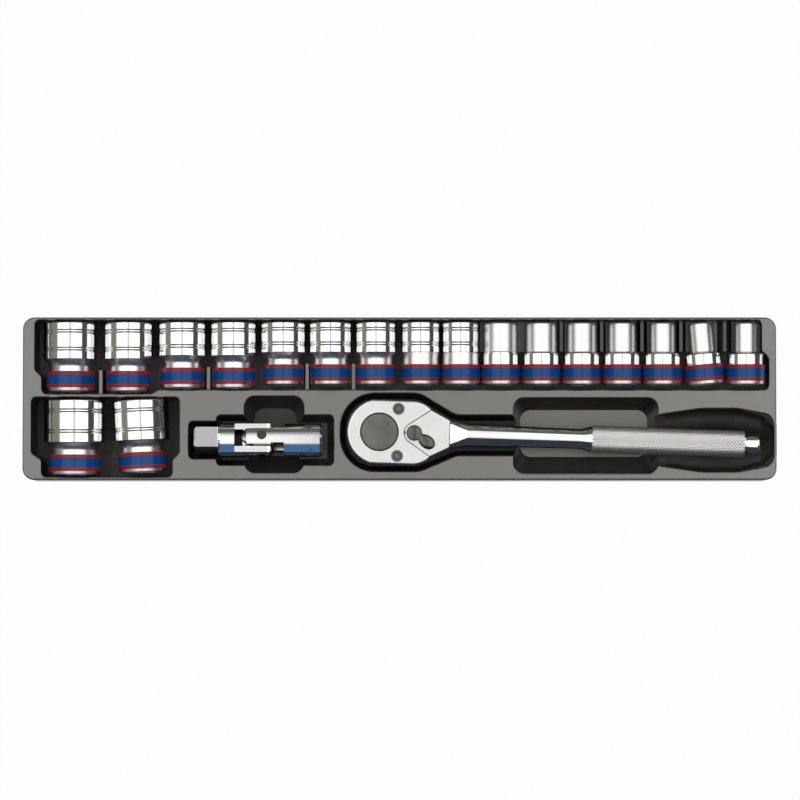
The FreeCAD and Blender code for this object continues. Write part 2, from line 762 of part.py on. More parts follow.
def make_tray():
    """One formed sheet: a skirt and a top face, with every pocket hanging under the top face."""
    plan = rectangle(left_edge, right_edge, near_edge, far_edge)
    skirt = [(0, 0)] + lip_sections(TRAY_HEIGHT, -SKIRT_DRAFT, -1)
    outside = lofted(plan, TRAY_CORNER, skirt)
    inside = lofted(
        plan, TRAY_CORNER,
        [(-CUT_OVER, -TRAY_WALL), (TRAY_HEIGHT - TRAY_WALL, -TRAY_WALL - SKIRT_DRAFT)],
    )
    skins = [trough(True), large_pocket(True)] + joint_pockets(pocket_skin) + ratchet_pockets(pocket_skin)
    skins += [square_well(TRAY_WALL), handle_bowl(TRAY_WALL)]
    hollows = [trough(False), large_pocket(False)] + joint_pockets(pocket) + ratchet_pockets(pocket)
    hollows += [square_well(0), handle_bowl(0), bowl_lip()]
    sheet = outside.cut(inside)
    return fused([sheet] + skins).cut(hollows).removeSplitter()


def head_outline():
    """The ratchet head seen from above: a round end, two flats, curved shoulders and a straight throat."""
    side = HEAD_HALF_WIDTH
    middle_x = (HEAD_FLAT_END + SHOULDER_X) / 2
    middle_y = (side + SHOULDER_HALF) / 2

    def flank(sign):
        start = Vector(-HEAD_FLAT_START, sign * side, 0)
        flat = Vector(HEAD_FLAT_END, sign * side, 0)
        bulge = Vector(middle_x + SHOULDER_BULGE / 2, sign * (middle_y + SHOULDER_BULGE), 0)
        shoulder = Vector(SHOULDER_X, sign * SHOULDER_HALF, 0)
        throat = Vector(THROAT_X, sign * THROAT_HALF, 0)
        return start, flat, bulge, shoulder, throat

    start, flat, bulge, shoulder, throat = flank(-1)
    start_2, flat_2, bulge_2, shoulder_2, throat_2 = flank(1)
    return Part.Wire([
        Part.Arc(start_2, Vector(-HEAD_END, 0, 0), start).toShape(),
        Part.LineSegment(start, flat).toShape(),
        Part.Arc(flat, bulge, shoulder).toShape(),
        Part.LineSegment(shoulder, throat).toShape(),
        Part.LineSegment(throat, throat_2).toShape(),
        Part.LineSegment(throat_2, shoulder_2).toShape(),
        Part.Arc(shoulder_2, bulge_2, flat_2).toShape(),
        Part.LineSegment(flat_2, start_2).toShape(),
    ])


def neck_section(x, half_width, half_height, radius):
    """A rounded rectangle across the handle's axis."""
    flat = rounded_outline(rectangle(-half_width, half_width, -half_height, half_height), radius, 0)
    return moved(rotated(flat, ORIGIN, ALONG + ACROSS + UP, 120), Vector(x, 0, 0))


def head_block():
    """The wide part of the head, rounded all round."""
    block = Part.Face(head_outline()).extrude(UP * HEAD_THICKNESS)
    block.translate(Vector(0, 0, -half_head))
    rims = []
    for edge in block.Edges:
        level = all(abs(abs(v.Z) - half_head) < FIT for v in edge.Vertexes)
        at_neck = all(v.X > THROAT_X - FIT for v in edge.Vertexes)
        if level and not at_neck:
            rims.append(edge)
    return block.makeFillet(HEAD_ROUND, rims)


def neck():
    """The neck between the head and the handle: a small step down, then flats that run out into the shank."""
    shank = SHANK_START_RADIUS - FIT
    return Part.makeLoft([
        neck_section(THROAT_X - NECK_BLEND, THROAT_HALF - NECK_STEP, half_head - NECK_STEP, NECK_ROUND),
        neck_section(NECK_X + NECK_BLEND, shank, shank, shank - FIT),
    ], True, True)


def handle():
    """Shank, grip and end cap, turned about the handle's axis."""
    groove_end = GRIP_END_X + GRIP_CHAMFER + GROOVE_WIDTH
    profile = [
        Vector(THROAT_X, 0, 0),
        Vector(THROAT_X, SHANK_START_RADIUS, 0),
        Vector(NECK_X, SHANK_START_RADIUS, 0),
        Vector(SHANK_END_X, SHANK_END_RADIUS, 0),
        Vector(GRIP_START_X, GRIP_RADIUS, 0),
        Vector(GRIP_END_X, GRIP_RADIUS, 0),
        Vector(GRIP_END_X + GRIP_CHAMFER, GRIP_RADIUS - GRIP_CHAMFER, 0),
        Vector(GRIP_END_X + GRIP_CHAMFER, GROOVE_RADIUS, 0),
        Vector(groove_end, GROOVE_RADIUS, 0),
        Vector(groove_end, CAP_RADIUS, 0),
        Vector(HANDLE_END_X - CAP_CHAMFER, CAP_RADIUS, 0),
        Vector(HANDLE_END_X, CAP_RADIUS - CAP_CHAMFER, 0),
        Vector(HANDLE_END_X, 0, 0),
    ]
    return polygon_face(profile).revolve(ORIGIN, ALONG, 360)


def plate_region(low, high):
    """All of the head to the left of the plate's edge, which runs in a V round the lever's hub."""
    shoulder = Vector(SHOULDER_X, SHOULDER_HALF, 0)
    hub = Vector(HUB_X, 0, 0)
    to_hub = hub - shoulder
    swing = math.asin(PLATE_NOTCH_RADIUS / to_hub.Length)
    heading = math.atan2(to_hub.y, to_hub.x) - swing
    run = math.sqrt(to_hub.Length ** 2 - PLATE_NOTCH_RADIUS ** 2)
    direction = Vector(math.cos(heading), math.sin(heading), 0)
    touch = shoulder + direction * run
    outer = shoulder - direction * run
    wide = Vector(outer.x, 2 * HEAD_HALF_WIDTH, 0)
    back = Vector(-2 * HEAD_END, 2 * HEAD_HALF_WIDTH, 0)

    def near(point):
        return Vector(point.x, -point.y, 0)

    path = [near(touch), near(outer), near(wide), near(back), back, wide, outer, touch]
    edges = [Part.LineSegment(path[i], path[i + 1]).toShape() for i in range(len(path) - 1)]
    edges.append(Part.Arc(touch, Vector(HUB_X - PLATE_NOTCH_RADIUS, 0, 0), near(touch)).toShape())
    face = Part.Face(Part.Wire(edges))
    face.translate(Vector(0, 0, low))
    return face.extrude(UP * (high - low))


plate_under = half_head - PLATE_THICKNESS
cavity_floor = -half_head + GEAR_FLOOR_WALL
screw_places = [Vector(SCREW_X, sign * SCREW_Y, half_head) for sign in (1, -1)]
hub_at = Vector(HUB_X, 0, 0)
pivot_at = Vector(PAWL_PIVOT_X, 0, 0)
plunger_way = Vector(-math.cos(math.radians(LEVER_REST)), -math.sin(math.radians(LEVER_REST)), 0)


def screw_shape(place, room):
    """A cover screw with a sunk cylinder head, or the hole for it when given room."""
    head = cylinder(SCREW_HEAD_RADIUS + room, place - UP * (SCREW_HEAD_HEIGHT + room), place)
    shank = cylinder(SCREW_SHANK_RADIUS + room, place - UP * (SCREW_LENGTH + room), place)
    return fused([head, shank])


def make_ratchet_body():
    """Head, shank and grip in one forging, hollowed for the gear, the pawl and the lever's shaft."""
    body = fused([head_block(), neck(), handle()])
    over = half_head + CUT_OVER
    gear_room = cylinder(GEAR_TIP_RADIUS + GEAR_ROOM, UP * cavity_floor, UP * over)
    foot_hole = cylinder(GEAR_FOOT_RADIUS + FIT, UP * -over, UP * over)
    pawl_room = sector(
        GEAR_ROOT_RADIUS, PAWL_OUTER_RADIUS + PAWL_ROOM_CLEARANCE, PAWL_HALF_ANGLE + PAWL_ROOM_TURN,
        cavity_floor, plate_under + FIT,
    )
    shaft_hole = cylinder(
        LEVER_SHAFT_RADIUS + FIT, hub_at + UP * (half_head - LEVER_SHAFT_DEPTH - SEAT), hub_at + UP * over
    )
    plunger_half = PLUNGER_RADIUS + SEAT
    plunger_room = sector(
        LEVER_SHAFT_RADIUS - SEAT, PLUNGER_TIP + PLUNGER_TRAVEL + SEAT, PLUNGER_ROOM_HALF_ANGLE,
        -plunger_half, plunger_half,
    )
    plunger_room = moved(rotated(plunger_room, ORIGIN, UP, 180), hub_at)
    pin_hole = cylinder(
        PAWL_PIN_RADIUS + FIT / 2, pivot_at + UP * (cavity_floor - PAWL_PIN_RADIUS), pivot_at + UP * over
    )
    seat = plate_region(plate_under, over)
    cuts = [seat, gear_room, foot_hole, pawl_room, plunger_room, shaft_hole, pin_hole]
    cuts += [screw_shape(place, FIT) for place in screw_places]
    return body.cut(cuts).removeSplitter()


def make_cover_plate():
    """The flush plate over the mechanism, open round the gear's disc and the two screws."""
    plate = head_block().common(plate_region(plate_under, half_head + CUT_OVER))
    disc_hole = cylinder(GEAR_DISC_RADIUS + FIT, ORIGIN, UP * (half_head + CUT_OVER))
    return plate.cut([disc_hole] + [screw_shape(place, FIT) for place in screw_places])


def make_cover_screws():
    """Two screws with six-sided keyways."""
    screws = []
    corner = SCREW_KEY / 2 / math.cos(math.pi / 6)
    for place in screw_places:
        around = [math.radians(60 * k) for k in range(6)]
        key = polygon_face([place + Vector(math.cos(a), math.sin(a), 0) * corner for a in around])
        screws.append(screw_shape(place, 0).cut(key.extrude(UP * -SCREW_KEY_DEPTH)))
    return Part.makeCompound(screws)


def gear_teeth(grow):
    """The toothed ring of the gear, each tooth a plain V, grown outwards to cut what meshes with it."""
    points = []
    for k in range(2 * GEAR_TEETH):
        radius = (GEAR_ROOT_RADIUS if k % 2 else GEAR_TIP_RADIUS) + grow
        angle = math.pi * k / GEAR_TEETH
        points.append(Vector(radius * math.cos(angle), radius * math.sin(angle), 0))
    low = cavity_floor + GEAR_END_PLAY - grow
    high = plate_under - GEAR_END_PLAY + grow
    face = polygon_face(points)
    face.translate(UP * low)
    return face.extrude(UP * (high - low))


def tapered_square(low, high):
    """A drive square that stands on its high end, with its low end chamfered."""
    half = DRIVE_SQUARE / 2

    def loop(inset, z):
        h = half - inset
        corners = [Vector(-h, -h, z), Vector(h, -h, z), Vector(h, h, z), Vector(-h, h, z)]
        return Part.makePolygon(corners + corners[:1])

    sections = [loop(SQUARE_CHAMFER, low), loop(0, low + SQUARE_CHAMFER), loop(0, high)]
    return Part.makeLoft(sections, True, True)


def ball_hole(face, inward):
    """The hole for a detent ball, from the middle of a square's face inwards."""
    return cylinder(BALL_RADIUS + BALL_FIT, face - inward * CUT_OVER, face + inward * BALL_HOLE_DEPTH)


def detent_ball(face, inward):
    return Part.makeSphere(BALL_RADIUS, face + inward * (BALL_RADIUS - BALL_STAND))


def ball_spring(face, inward):
    """The spring behind a detent ball, at the length to which the ball can press it."""
    start = face + inward * (2 * BALL_RADIUS - BALL_STAND + BALL_TRAVEL + BALL_FIT)
    end = face + inward * (BALL_HOLE_DEPTH - FIT)
    outer = BALL_RADIUS - BALL_FIT
    return cylinder(outer, start, end).cut(cylinder(outer - 2 * SPRING_WIRE, start, end))


drive_ball_face = Vector(DRIVE_SQUARE / 2, 0, -half_head - SQUARE_LENGTH / 2)
drive_ball_way = Vector(-1, 0, 0)


def make_drive_gear():
    """Teeth, the disc that shows in the cover plate, the foot in the floor and the drive square."""
    disc = cylinder(GEAR_DISC_RADIUS, ORIGIN, UP * half_head)
    foot = cylinder(GEAR_FOOT_RADIUS, UP * -half_head, ORIGIN)
    square = tapered_square(-half_head - SQUARE_LENGTH, 0)
    gear = fused([gear_teeth(0), disc, foot, square])
    return gear.cut(ball_hole(drive_ball_face, drive_ball_way))


def make_pawl():
    """A rocking pawl: its two ends are cut by the gear through the whole of its swing."""
    low = cavity_floor + PAWL_PLAY
    high = plate_under - PAWL_PLAY
    pawl = sector(GEAR_ROOT_RADIUS, PAWL_OUTER_RADIUS, PAWL_HALF_ANGLE, low, high)
    pawl = rotated(pawl, pivot_at, UP, PAWL_ROCK)
    grown = gear_teeth(TOOTH_CLEARANCE)
    sweep = cylinder(PLUNGER_TIP + PLUNGER_SWEEP, hub_at + UP * low, hub_at + UP * high)
    for k in range(PAWL_STEPS + 1):
        back = 2 * PAWL_ROCK * k / PAWL_STEPS
        pawl = pawl.cut([rotated(grown, pivot_at, UP, back), rotated(sweep, pivot_at, UP, back)])
    under, over = pivot_at + UP * (low - CUT_OVER), pivot_at + UP * (high + CUT_OVER)
    hole = cylinder(PAWL_PIN_RADIUS + FIT, under, over)
    return max(pawl.cut(hole).Solids, key=lambda solid: solid.Volume)


def make_pawl_pin():
    foot = pivot_at + UP * (cavity_floor - PAWL_PIN_RADIUS)
    return cylinder(PAWL_PIN_RADIUS, foot, pivot_at + UP * plate_under)


def make_lever():
    """A thumb tab on a round hub, with a shaft that carries the plunger's bore."""
    seat = half_head + LEVER_LIFT
    tip = Vector(LEVER_REACH - LEVER_TIP_RADIUS, 0, 0)
    lean = math.acos((LEVER_HUB_RADIUS - LEVER_TIP_RADIUS) / tip.x)
    far = Vector(math.cos(lean), math.sin(lean), 0)
    near = Vector(math.cos(lean), -math.sin(lean), 0)
    outline = Part.Wire([
        Part.Arc(far * LEVER_HUB_RADIUS, Vector(-LEVER_HUB_RADIUS, 0, 0), near * LEVER_HUB_RADIUS).toShape(),
        Part.LineSegment(near * LEVER_HUB_RADIUS, tip + near * LEVER_TIP_RADIUS).toShape(),
        Part.Arc(
            tip + near * LEVER_TIP_RADIUS, Vector(LEVER_REACH, 0, 0), tip + far * LEVER_TIP_RADIUS
        ).toShape(),
        Part.LineSegment(tip + far * LEVER_TIP_RADIUS, far * LEVER_HUB_RADIUS).toShape(),
    ])
    tab = Part.Face(outline).extrude(UP * LEVER_THICKNESS)
    top_rim = [e for e in tab.Edges if all(abs(v.Z - LEVER_THICKNESS) < FIT for v in e.Vertexes)]
    tab = moved(tab.makeFillet(LEVER_ROUND, top_rim), UP * seat)
    shaft = cylinder(LEVER_SHAFT_RADIUS, UP * (half_head - LEVER_SHAFT_DEPTH), UP * (seat + LEVER_ROUND))
    lever = moved(rotated(fused([tab, shaft]), ORIGIN, UP, LEVER_REST), hub_at)
    bore = cylinder(
        PLUNGER_RADIUS + FIT,
        hub_at - plunger_way * PLUNGER_BORE_BACK,
        hub_at + plunger_way * LEVER_HUB_RADIUS,
    )
    return lever.cut(bore)


def make_lever_plunger():
    """A round-nosed pin that presses on the pawl's back."""
    nose = PLUNGER_TIP - PLUNGER_NOSE
    stem = cylinder(PLUNGER_RADIUS, hub_at + plunger_way * PLUNGER_BACK, hub_at + plunger_way * nose)
    tip = Part.makeCone(
        PLUNGER_RADIUS, PLUNGER_RADIUS - PLUNGER_NOSE, PLUNGER_NOSE, hub_at + plunger_way * nose, plunger_way
    )
    return fused([stem, tip])


def make_plunger_spring():
    start = hub_at - plunger_way * (PLUNGER_BORE_BACK - FIT)
    end = hub_at + plunger_way * (PLUNGER_BACK - FIT)
    outer = PLUNGER_RADIUS - FIT
    return cylinder(outer, start, end).cut(cylinder(outer - SPRING_WIRE, start, end))


def bar(low_x, high_x, radius):
    return cylinder(radius, ALONG * low_x, ALONG * high_x)


def fork_arm(low_x, high_x, side, rounded_at):
    """One arm of a fork, standing off the axis towards side, rounded about its far end."""
    wide = side.cross(ALONG)
    half = FORK_HALF_WIDTH
    foot = side * FORK_HALF_GAP
    end = ALONG * rounded_at
    root = ALONG * (high_x if rounded_at == low_x else low_x)
    inward = (root - end).normalize()
    center = end + inward * half
    face = Part.Face(Part.Wire([
        Part.LineSegment(root - wide * half, center - wide * half).toShape(),
        Part.Arc(center - wide * half, end, center + wide * half).toShape(),
        Part.LineSegment(center + wide * half, root + wide * half).toShape(),
        Part.LineSegment(root + wide * half, root - wide * half).toShape(),
    ]))
    face.translate(foot)
    blank = face.extrude(side * JOINT_RADIUS)
    round_bar = bar(low_x, high_x, JOINT_RADIUS)
    nose = [e for e in round_bar.Edges if all(abs(v.X - rounded_at) < FIT for v in e.Vertexes)]
    return blank.common(round_bar.makeChamfer(FORK_NOSE, nose))


joint_ball_face = Vector(-(MALE_TIP + MALE_SQUARE_END) / 2, 0, -DRIVE_SQUARE / 2)
joint_ball_way = Vector(0, 0, 1)


def make_male_yoke():
    """The square, the collar and two arms at the sides."""
    square = tapered_square(-MALE_TIP, -MALE_FORK_ROOT - CUT_OVER)
    square = rotated(square, ORIGIN, ACROSS, 90)
    collar = bar(-MALE_SQUARE_END, -MALE_FORK_ROOT, JOINT_RADIUS)
    shoulder = [e for e in collar.Edges if all(v.X < -MALE_SQUARE_END + FIT for v in e.Vertexes)]
    collar = collar.makeChamfer(COLLAR_CHAMFER, shoulder)
    arms = []
    for side in (ACROSS, -ACROSS):
        arms.append(fork_arm(-MALE_FORK_ROOT - CUT_OVER, MALE_FORK_TIP, side, MALE_FORK_TIP))
    yoke = fused([square, collar] + arms)
    pin_hole = cylinder(CROSS_PIN_RADIUS + FIT, ACROSS * -JOINT_RADIUS * 2, ACROSS * JOINT_RADIUS * 2)
    return yoke.cut([pin_hole, ball_hole(joint_ball_face, joint_ball_way)])


def make_female_yoke():
    """The socketed half and two arms above and below."""
    body = bar(FEMALE_FORK_ROOT, FEMALE_END, JOINT_RADIUS)
    rim = [e for e in body.Edges if all(v.X > FEMALE_END - FIT for v in e.Vertexes)]
    body = body.makeChamfer(COLLAR_CHAMFER, rim)
    arms = []
    for side in (UP, -UP):
        arms.append(fork_arm(-FEMALE_FORK_TIP, FEMALE_FORK_ROOT + CUT_OVER, side, -FEMALE_FORK_TIP))
    yoke = fused([body] + arms)
    half = (DRIVE_SQUARE + SQUARE_CLEARANCE) / 2
    square = slab(
        Vector(FEMALE_END - SQUARE_DEPTH, -half, -half), Vector(FEMALE_END + CUT_OVER, half, half)
    )
    pin_hole = cylinder(CROSS_PIN_RADIUS + FIT, UP * -JOINT_RADIUS * 2, UP * JOINT_RADIUS * 2)
    return yoke.cut([pin_hole, square])


def make_centre_block():
    """A cube bored through for the long pin and from two sides for the short ones."""
    corner = Vector(BLOCK_HALF, BLOCK_HALF, BLOCK_HALF)
    block = slab(-corner, corner)
    long_hole = cylinder(CROSS_PIN_RADIUS + FIT / 2, UP * -JOINT_RADIUS, UP * JOINT_RADIUS)
    short_hole = cylinder(CROSS_PIN_RADIUS + FIT / 2, ACROSS * -JOINT_RADIUS, ACROSS * JOINT_RADIUS)
    return block.cut([long_hole, short_hole])


pin_reach = JOINT_RADIUS - PIN_SINK


def make_long_pin():
    return cylinder(CROSS_PIN_RADIUS, UP * -pin_reach, UP * pin_reach)


def make_short_pins():
    start = CROSS_PIN_RADIUS + SEAT
    return Part.makeCompound([
        cylinder(CROSS_PIN_RADIUS, side * start, side * pin_reach) for side in (ACROSS, -ACROSS)
    ])


def all_nodes():
    """Every piece of the set, under the name of its file."""
    nodes = {"tray": make_tray()}
    for socket in sockets + large_sockets:
        nodes[socket.name] = socket.shape()
    ratchet = {
        "ratchet_body": make_ratchet_body(),
        "cover_plate": make_cover_plate(),
        "cover_screws": make_cover_screws(),
        "drive_gear": make_drive_gear(),
        "drive_ball": detent_ball(drive_ball_face, drive_ball_way),
        "drive_ball_spring": ball_spring(drive_ball_face, drive_ball_way),
        "pawl": make_pawl(),
        "pawl_pin": make_pawl_pin(),
        "reversing_lever": make_lever(),
        "lever_plunger": make_lever_plunger(),
        "plunger_spring": make_plunger_spring(),
    }
    joint = {
        "joint_male_yoke": make_male_yoke(),
        "joint_female_yoke": make_female_yoke(),
        "joint_block": make_centre_block(),
        "joint_long_pin": make_long_pin(),
        "joint_short_pins": make_short_pins(),
        "joint_ball": detent_ball(joint_ball_face, joint_ball_way),
        "joint_ball_spring": ball_spring(joint_ball_face, joint_ball_way),
    }
    nodes.update({name: in_ratchet(shape) for name, shape in ratchet.items()})
    nodes.update({name: in_joint(shape) for name, shape in joint.items()})
    return nodes


def main():
    os.makedirs("parts", exist_ok=True)
    for name, shape in all_nodes().items():
        shape.exportStep(os.path.join("parts", name + ".step"))


main()
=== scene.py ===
"""Looks of a socket wrench set in its formed tray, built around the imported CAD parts.

Metres in the scene, millimetres in the tables. The frame's +X runs along the tray, +Y towards the row of
sockets and +Z up.
"""
import math

import bpy
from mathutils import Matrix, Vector


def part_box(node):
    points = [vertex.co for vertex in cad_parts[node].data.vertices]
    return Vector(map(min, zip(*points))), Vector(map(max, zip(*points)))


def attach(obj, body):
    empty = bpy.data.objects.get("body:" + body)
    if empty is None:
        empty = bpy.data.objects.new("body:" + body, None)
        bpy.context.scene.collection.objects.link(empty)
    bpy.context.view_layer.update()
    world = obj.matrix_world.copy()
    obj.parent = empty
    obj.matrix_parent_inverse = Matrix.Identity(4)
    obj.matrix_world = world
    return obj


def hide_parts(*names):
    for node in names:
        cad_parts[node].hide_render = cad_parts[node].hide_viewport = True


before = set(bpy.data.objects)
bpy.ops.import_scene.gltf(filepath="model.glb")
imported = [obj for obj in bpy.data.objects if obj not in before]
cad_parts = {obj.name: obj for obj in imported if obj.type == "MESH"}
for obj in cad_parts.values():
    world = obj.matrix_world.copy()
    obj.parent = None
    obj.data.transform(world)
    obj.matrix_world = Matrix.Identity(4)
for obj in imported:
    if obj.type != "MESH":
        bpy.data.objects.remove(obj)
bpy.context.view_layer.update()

MM = 0.001
QUARTER = math.pi / 2
ROUND = 96

# Photograph's view
TRAY_TOP = 32.0
VIEW_X = 0.3
VIEW_Y = -0.9
VIEW_DISTANCE = 2000.0
VIEW_TILT = 2.2
VIEW_WIDTH = 487.0
SENSOR = 36.0
VIEW_REACH = 50.0


def deselect():
    bpy.ops.object.select_all(action="DESELECT")


def choose(piece):
    """Makes one piece the only selected one."""
    deselect()
    piece.select_set(True)
    bpy.context.view_layer.objects.active = piece


def edit(piece):
    """Opens one piece in edit mode with nothing selected."""
    choose(piece)
    bpy.ops.object.mode_set(mode="EDIT")
    bpy.ops.mesh.select_all(action="DESELECT")


def close():
    bpy.ops.object.mode_set(mode="OBJECT")


def settle(piece):
    """Puts a piece's place into its mesh."""
    choose(piece)
    bpy.ops.object.transform_apply(location=True, rotation=True, scale=True)


def smooth(piece, angle):
    choose(piece)
    bpy.ops.object.shade_smooth_by_angle(angle=math.radians(angle))


def turned(name, stations, segments=ROUND):
    """A body turned about the Y axis: a ring carried from station to station (place, radius) and capped."""
    deselect()
    place, radius = stations[0]
    bpy.ops.mesh.primitive_circle_add(
        vertices=segments,
        radius=radius * MM,
        fill_type="NOTHING",
        location=(0, place * MM, 0),
        rotation=(QUARTER, 0, 0),
    )
    piece = bpy.context.object
    piece.name = name
    bpy.ops.object.transform_apply(location=True, rotation=True, scale=True)
    bpy.ops.object.mode_set(mode="EDIT")
    bpy.ops.mesh.select_all(action="SELECT")
    for further, wider in stations[1:]:
        step = (0, (further - place) * MM, 0)
        bpy.ops.mesh.extrude_region_move(TRANSFORM_OT_translate={"value": step})
        share = wider / radius
        bpy.ops.transform.resize(value=(share, 1, share), center_override=(0, further * MM, 0))
        place, radius = further, wider
    bpy.ops.mesh.select_all(action="SELECT")
    bpy.ops.mesh.fill_holes(sides=0)
    bpy.ops.mesh.select_all(action="SELECT")
    bpy.ops.mesh.normals_make_consistent(inside=False)
    close()
    return piece


def combine(piece, tool, operation):
    """Cuts a tool out of a piece or joins it to the piece, and clears the tool away."""
    choose(piece)
    change = piece.modifiers.new("combine", "BOOLEAN")
    change.operation = operation
    change.solver = "EXACT"
    change.object = tool
    bpy.ops.object.modifier_apply(modifier=change.name)
    bpy.data.objects.remove(tool, do_unlink=True)


def cut(piece, tool):
    combine(piece, tool, "DIFFERENCE")


def arc(start, end, steps, bulge=1):
    """Stations of a quarter round between two (place, radius) points.

    With bulge 1 the radius changes early, which rounds an edge outwards; with -1 it changes late.
    """
    places = []
    for k in range(steps + 1):
        turn = QUARTER * k / steps
        along = 1 - math.cos(turn) if bulge > 0 else math.sin(turn)
        out = math.sin(turn) if bulge > 0 else 1 - math.cos(turn)
        places.append((start[0] + (end[0] - start[0]) * along, start[1] + (end[1] - start[1]) * out))
    return places


# Stage, camera and light

AMBIENT = 0.12
WARM_WHITE = (1.0, 0.98, 0.95, 1)
FLOOR_SIZE = 60.0
FLOOR_Z = -0.0004
FLOOR_GREY = (0.8, 0.8, 0.8, 1)
FLOOR_GLOW = 0.98
BOX_HEIGHT = 5.0
BOX_GAP = 0.36

# Pairs of lamps in metres: height, half width, near end, far end, radiance
LAMP_PAIRS = {
    "wide_box": (BOX_HEIGHT, 6.6, -2.6, 4.4, 0.49),
    "key_box": (BOX_HEIGHT - 0.1, 2.6, -1.6, 2.4, 0.32),
}

LYING = (0, 0, 0)
AT_A_SIDE = (0, QUARTER, 0)
AT_AN_END = (QUARTER, 0, 0)
MIDDLE = BOX_HEIGHT / 2
NAVY = (0.032, 0.04, 0.064)
BLUE = (0.07, 0.19, 0.4)
DARK = (0.06, 0.058, 0.05)

# Cards in metres: place, size, how it stands, shade
CARDS = {
    "flag_gap": ((0, 1.5, BOX_HEIGHT + 0.2), (1.1, 12), LYING, (0.4, 0.4, 0.39)),
    "flag_left": ((-7.2, 0, 2.7), (5.4, 18), AT_A_SIDE, (0.23, 0.225, 0.19)),
    "flag_low_left": ((-3.4, 0, 0.002), (6.0, 8.0), LYING, DARK),
    "flag_right": ((7.2, 0, 2.7), (5.4, 18), AT_A_SIDE, (0.07, 0.066, 0.06)),
    "flag_near": ((0, -4.95, BOX_HEIGHT), (15, 4.5), LYING, NAVY),
    "flag_near_low": ((0, -7.2, MIDDLE), (15, BOX_HEIGHT), AT_AN_END, NAVY),
    "flag_blue": ((-0.36, -4.95, BOX_HEIGHT - 0.02), (0.5, 4.5), LYING, BLUE),
    "flag_blue_low": ((-0.36, -7.18, MIDDLE), (0.5, BOX_HEIGHT), AT_AN_END, BLUE),
    "flag_low_near": ((0, -3.53, 0.002), (15, 6.94), LYING, (0.03, 0.036, 0.05)),
    "flag_low_far": ((0, 3.73, 0.002), (15, 7.34), LYING, DARK),
    "flag_far": ((0, 7.5, 3.6), (15, 7.2), AT_AN_END, (0.13, 0.125, 0.11)),
}


def make_camera():
    data = bpy.data.cameras.new("view")
    data.sensor_width = SENSOR
    data.lens = SENSOR * VIEW_DISTANCE / VIEW_WIDTH
    data.clip_end = VIEW_REACH
    camera = bpy.data.objects.new("view", data)
    tilt = math.radians(VIEW_TILT)
    away = Vector((0, -math.sin(tilt), math.cos(tilt))) * VIEW_DISTANCE
    camera.location = (Vector((VIEW_X, VIEW_Y, TRAY_TOP)) + away) * MM
    camera.rotation_euler = (tilt, 0, 0)
    bpy.context.scene.collection.objects.link(camera)
    bpy.context.scene.camera = camera


def add_softbox(name, place, aim, width, length, radiance):
    """A rectangular lamp of a set brightness that faces a point."""
    data = bpy.data.lights.new(name, "AREA")
    data.shape = "RECTANGLE"
    data.size = width
    data.size_y = length
    data.energy = radiance * math.pi * width * length
    lamp = bpy.data.objects.new(name, data)
    lamp.location = place
    lamp.rotation_euler = (Vector(aim) - Vector(place)).to_track_quat("-Z", "Y").to_euler()
    bpy.context.scene.collection.objects.link(lamp)


def hang_pair(name, height, half, near, far, radiance):
    """Two lamps side by side over the tray, with a narrow gap where the camera looks through."""
    width = half - BOX_GAP / 2
    middle = (near + far) / 2
    for label, side in (("_left", -1), ("_right", 1)):
        across = side * (BOX_GAP + width) / 2
        add_softbox(name + label, (across, middle, height), (across, middle, 0), width, far - near, radiance)


def seen_light(tree, shade, bright):
    """A white that camera, mirror and glass rays see, and a weaker light for everything else."""
    nodes, links = tree.nodes, tree.links
    path = nodes.new("ShaderNodeLightPath")
    first = nodes.new("ShaderNodeMath")
    first.operation = "MAXIMUM"
    second = nodes.new("ShaderNodeMath")
    second.operation = "MAXIMUM"
    links.new(path.outputs["Is Camera Ray"], first.inputs[0])
    links.new(path.outputs["Is Glossy Ray"], first.inputs[1])
    links.new(first.outputs[0], second.inputs[0])
    links.new(path.outputs["Is Transmission Ray"], second.inputs[1])
    mix = nodes.new("ShaderNodeMixShader")
    links.new(second.outputs[0], mix.inputs["Fac"])
    links.new(shade, mix.inputs[1])
    links.new(bright, mix.inputs[2])
    return mix.outputs[0]


def make_world():
    world = bpy.data.worlds.new("studio")
    bpy.context.scene.world = world
    world.use_nodes = True
    tree = world.node_tree
    tree.nodes.clear()
    fill = tree.nodes.new("ShaderNodeBackground")
    fill.inputs["Color"].default_value = WARM_WHITE
    fill.inputs["Strength"].default_value = AMBIENT
    white = tree.nodes.new("ShaderNodeBackground")
    white.inputs["Color"].default_value = (1, 1, 1, 1)
    white.inputs["Strength"].default_value = 1.0
    out = tree.nodes.new("ShaderNodeOutputWorld")
    tree.links.new(seen_light(tree, fill.outputs[0], white.outputs[0]), out.inputs["Surface"])


def make_floor():
    """A wide white floor that keeps a faint shadow under the tray."""
    deselect()
    bpy.ops.mesh.primitive_plane_add(size=FLOOR_SIZE, location=(0, 0, FLOOR_Z))
    floor = bpy.context.object
    floor.name = "floor"
    settle(floor)
    paint = bpy.data.materials.new("floor_white")
    paint.use_nodes = True
    tree = paint.node_tree
    tree.nodes.clear()
    matt = tree.nodes.new("ShaderNodeBsdfDiffuse")
    matt.inputs["Color"].default_value = FLOOR_GREY
    glow = tree.nodes.new("ShaderNodeEmission")
    glow.inputs["Strength"].default_value = 1.0
    veil = tree.nodes.new("ShaderNodeMixShader")
    veil.inputs["Fac"].default_value = FLOOR_GLOW
    tree.links.new(matt.outputs[0], veil.inputs[1])
    tree.links.new(glow.outputs[0], veil.inputs[2])
    out = tree.nodes.new("ShaderNodeOutputMaterial")
    tree.links.new(seen_light(tree, matt.outputs[0], veil.outputs[0]), out.inputs["Surface"])
    floor.data.materials.append(paint)


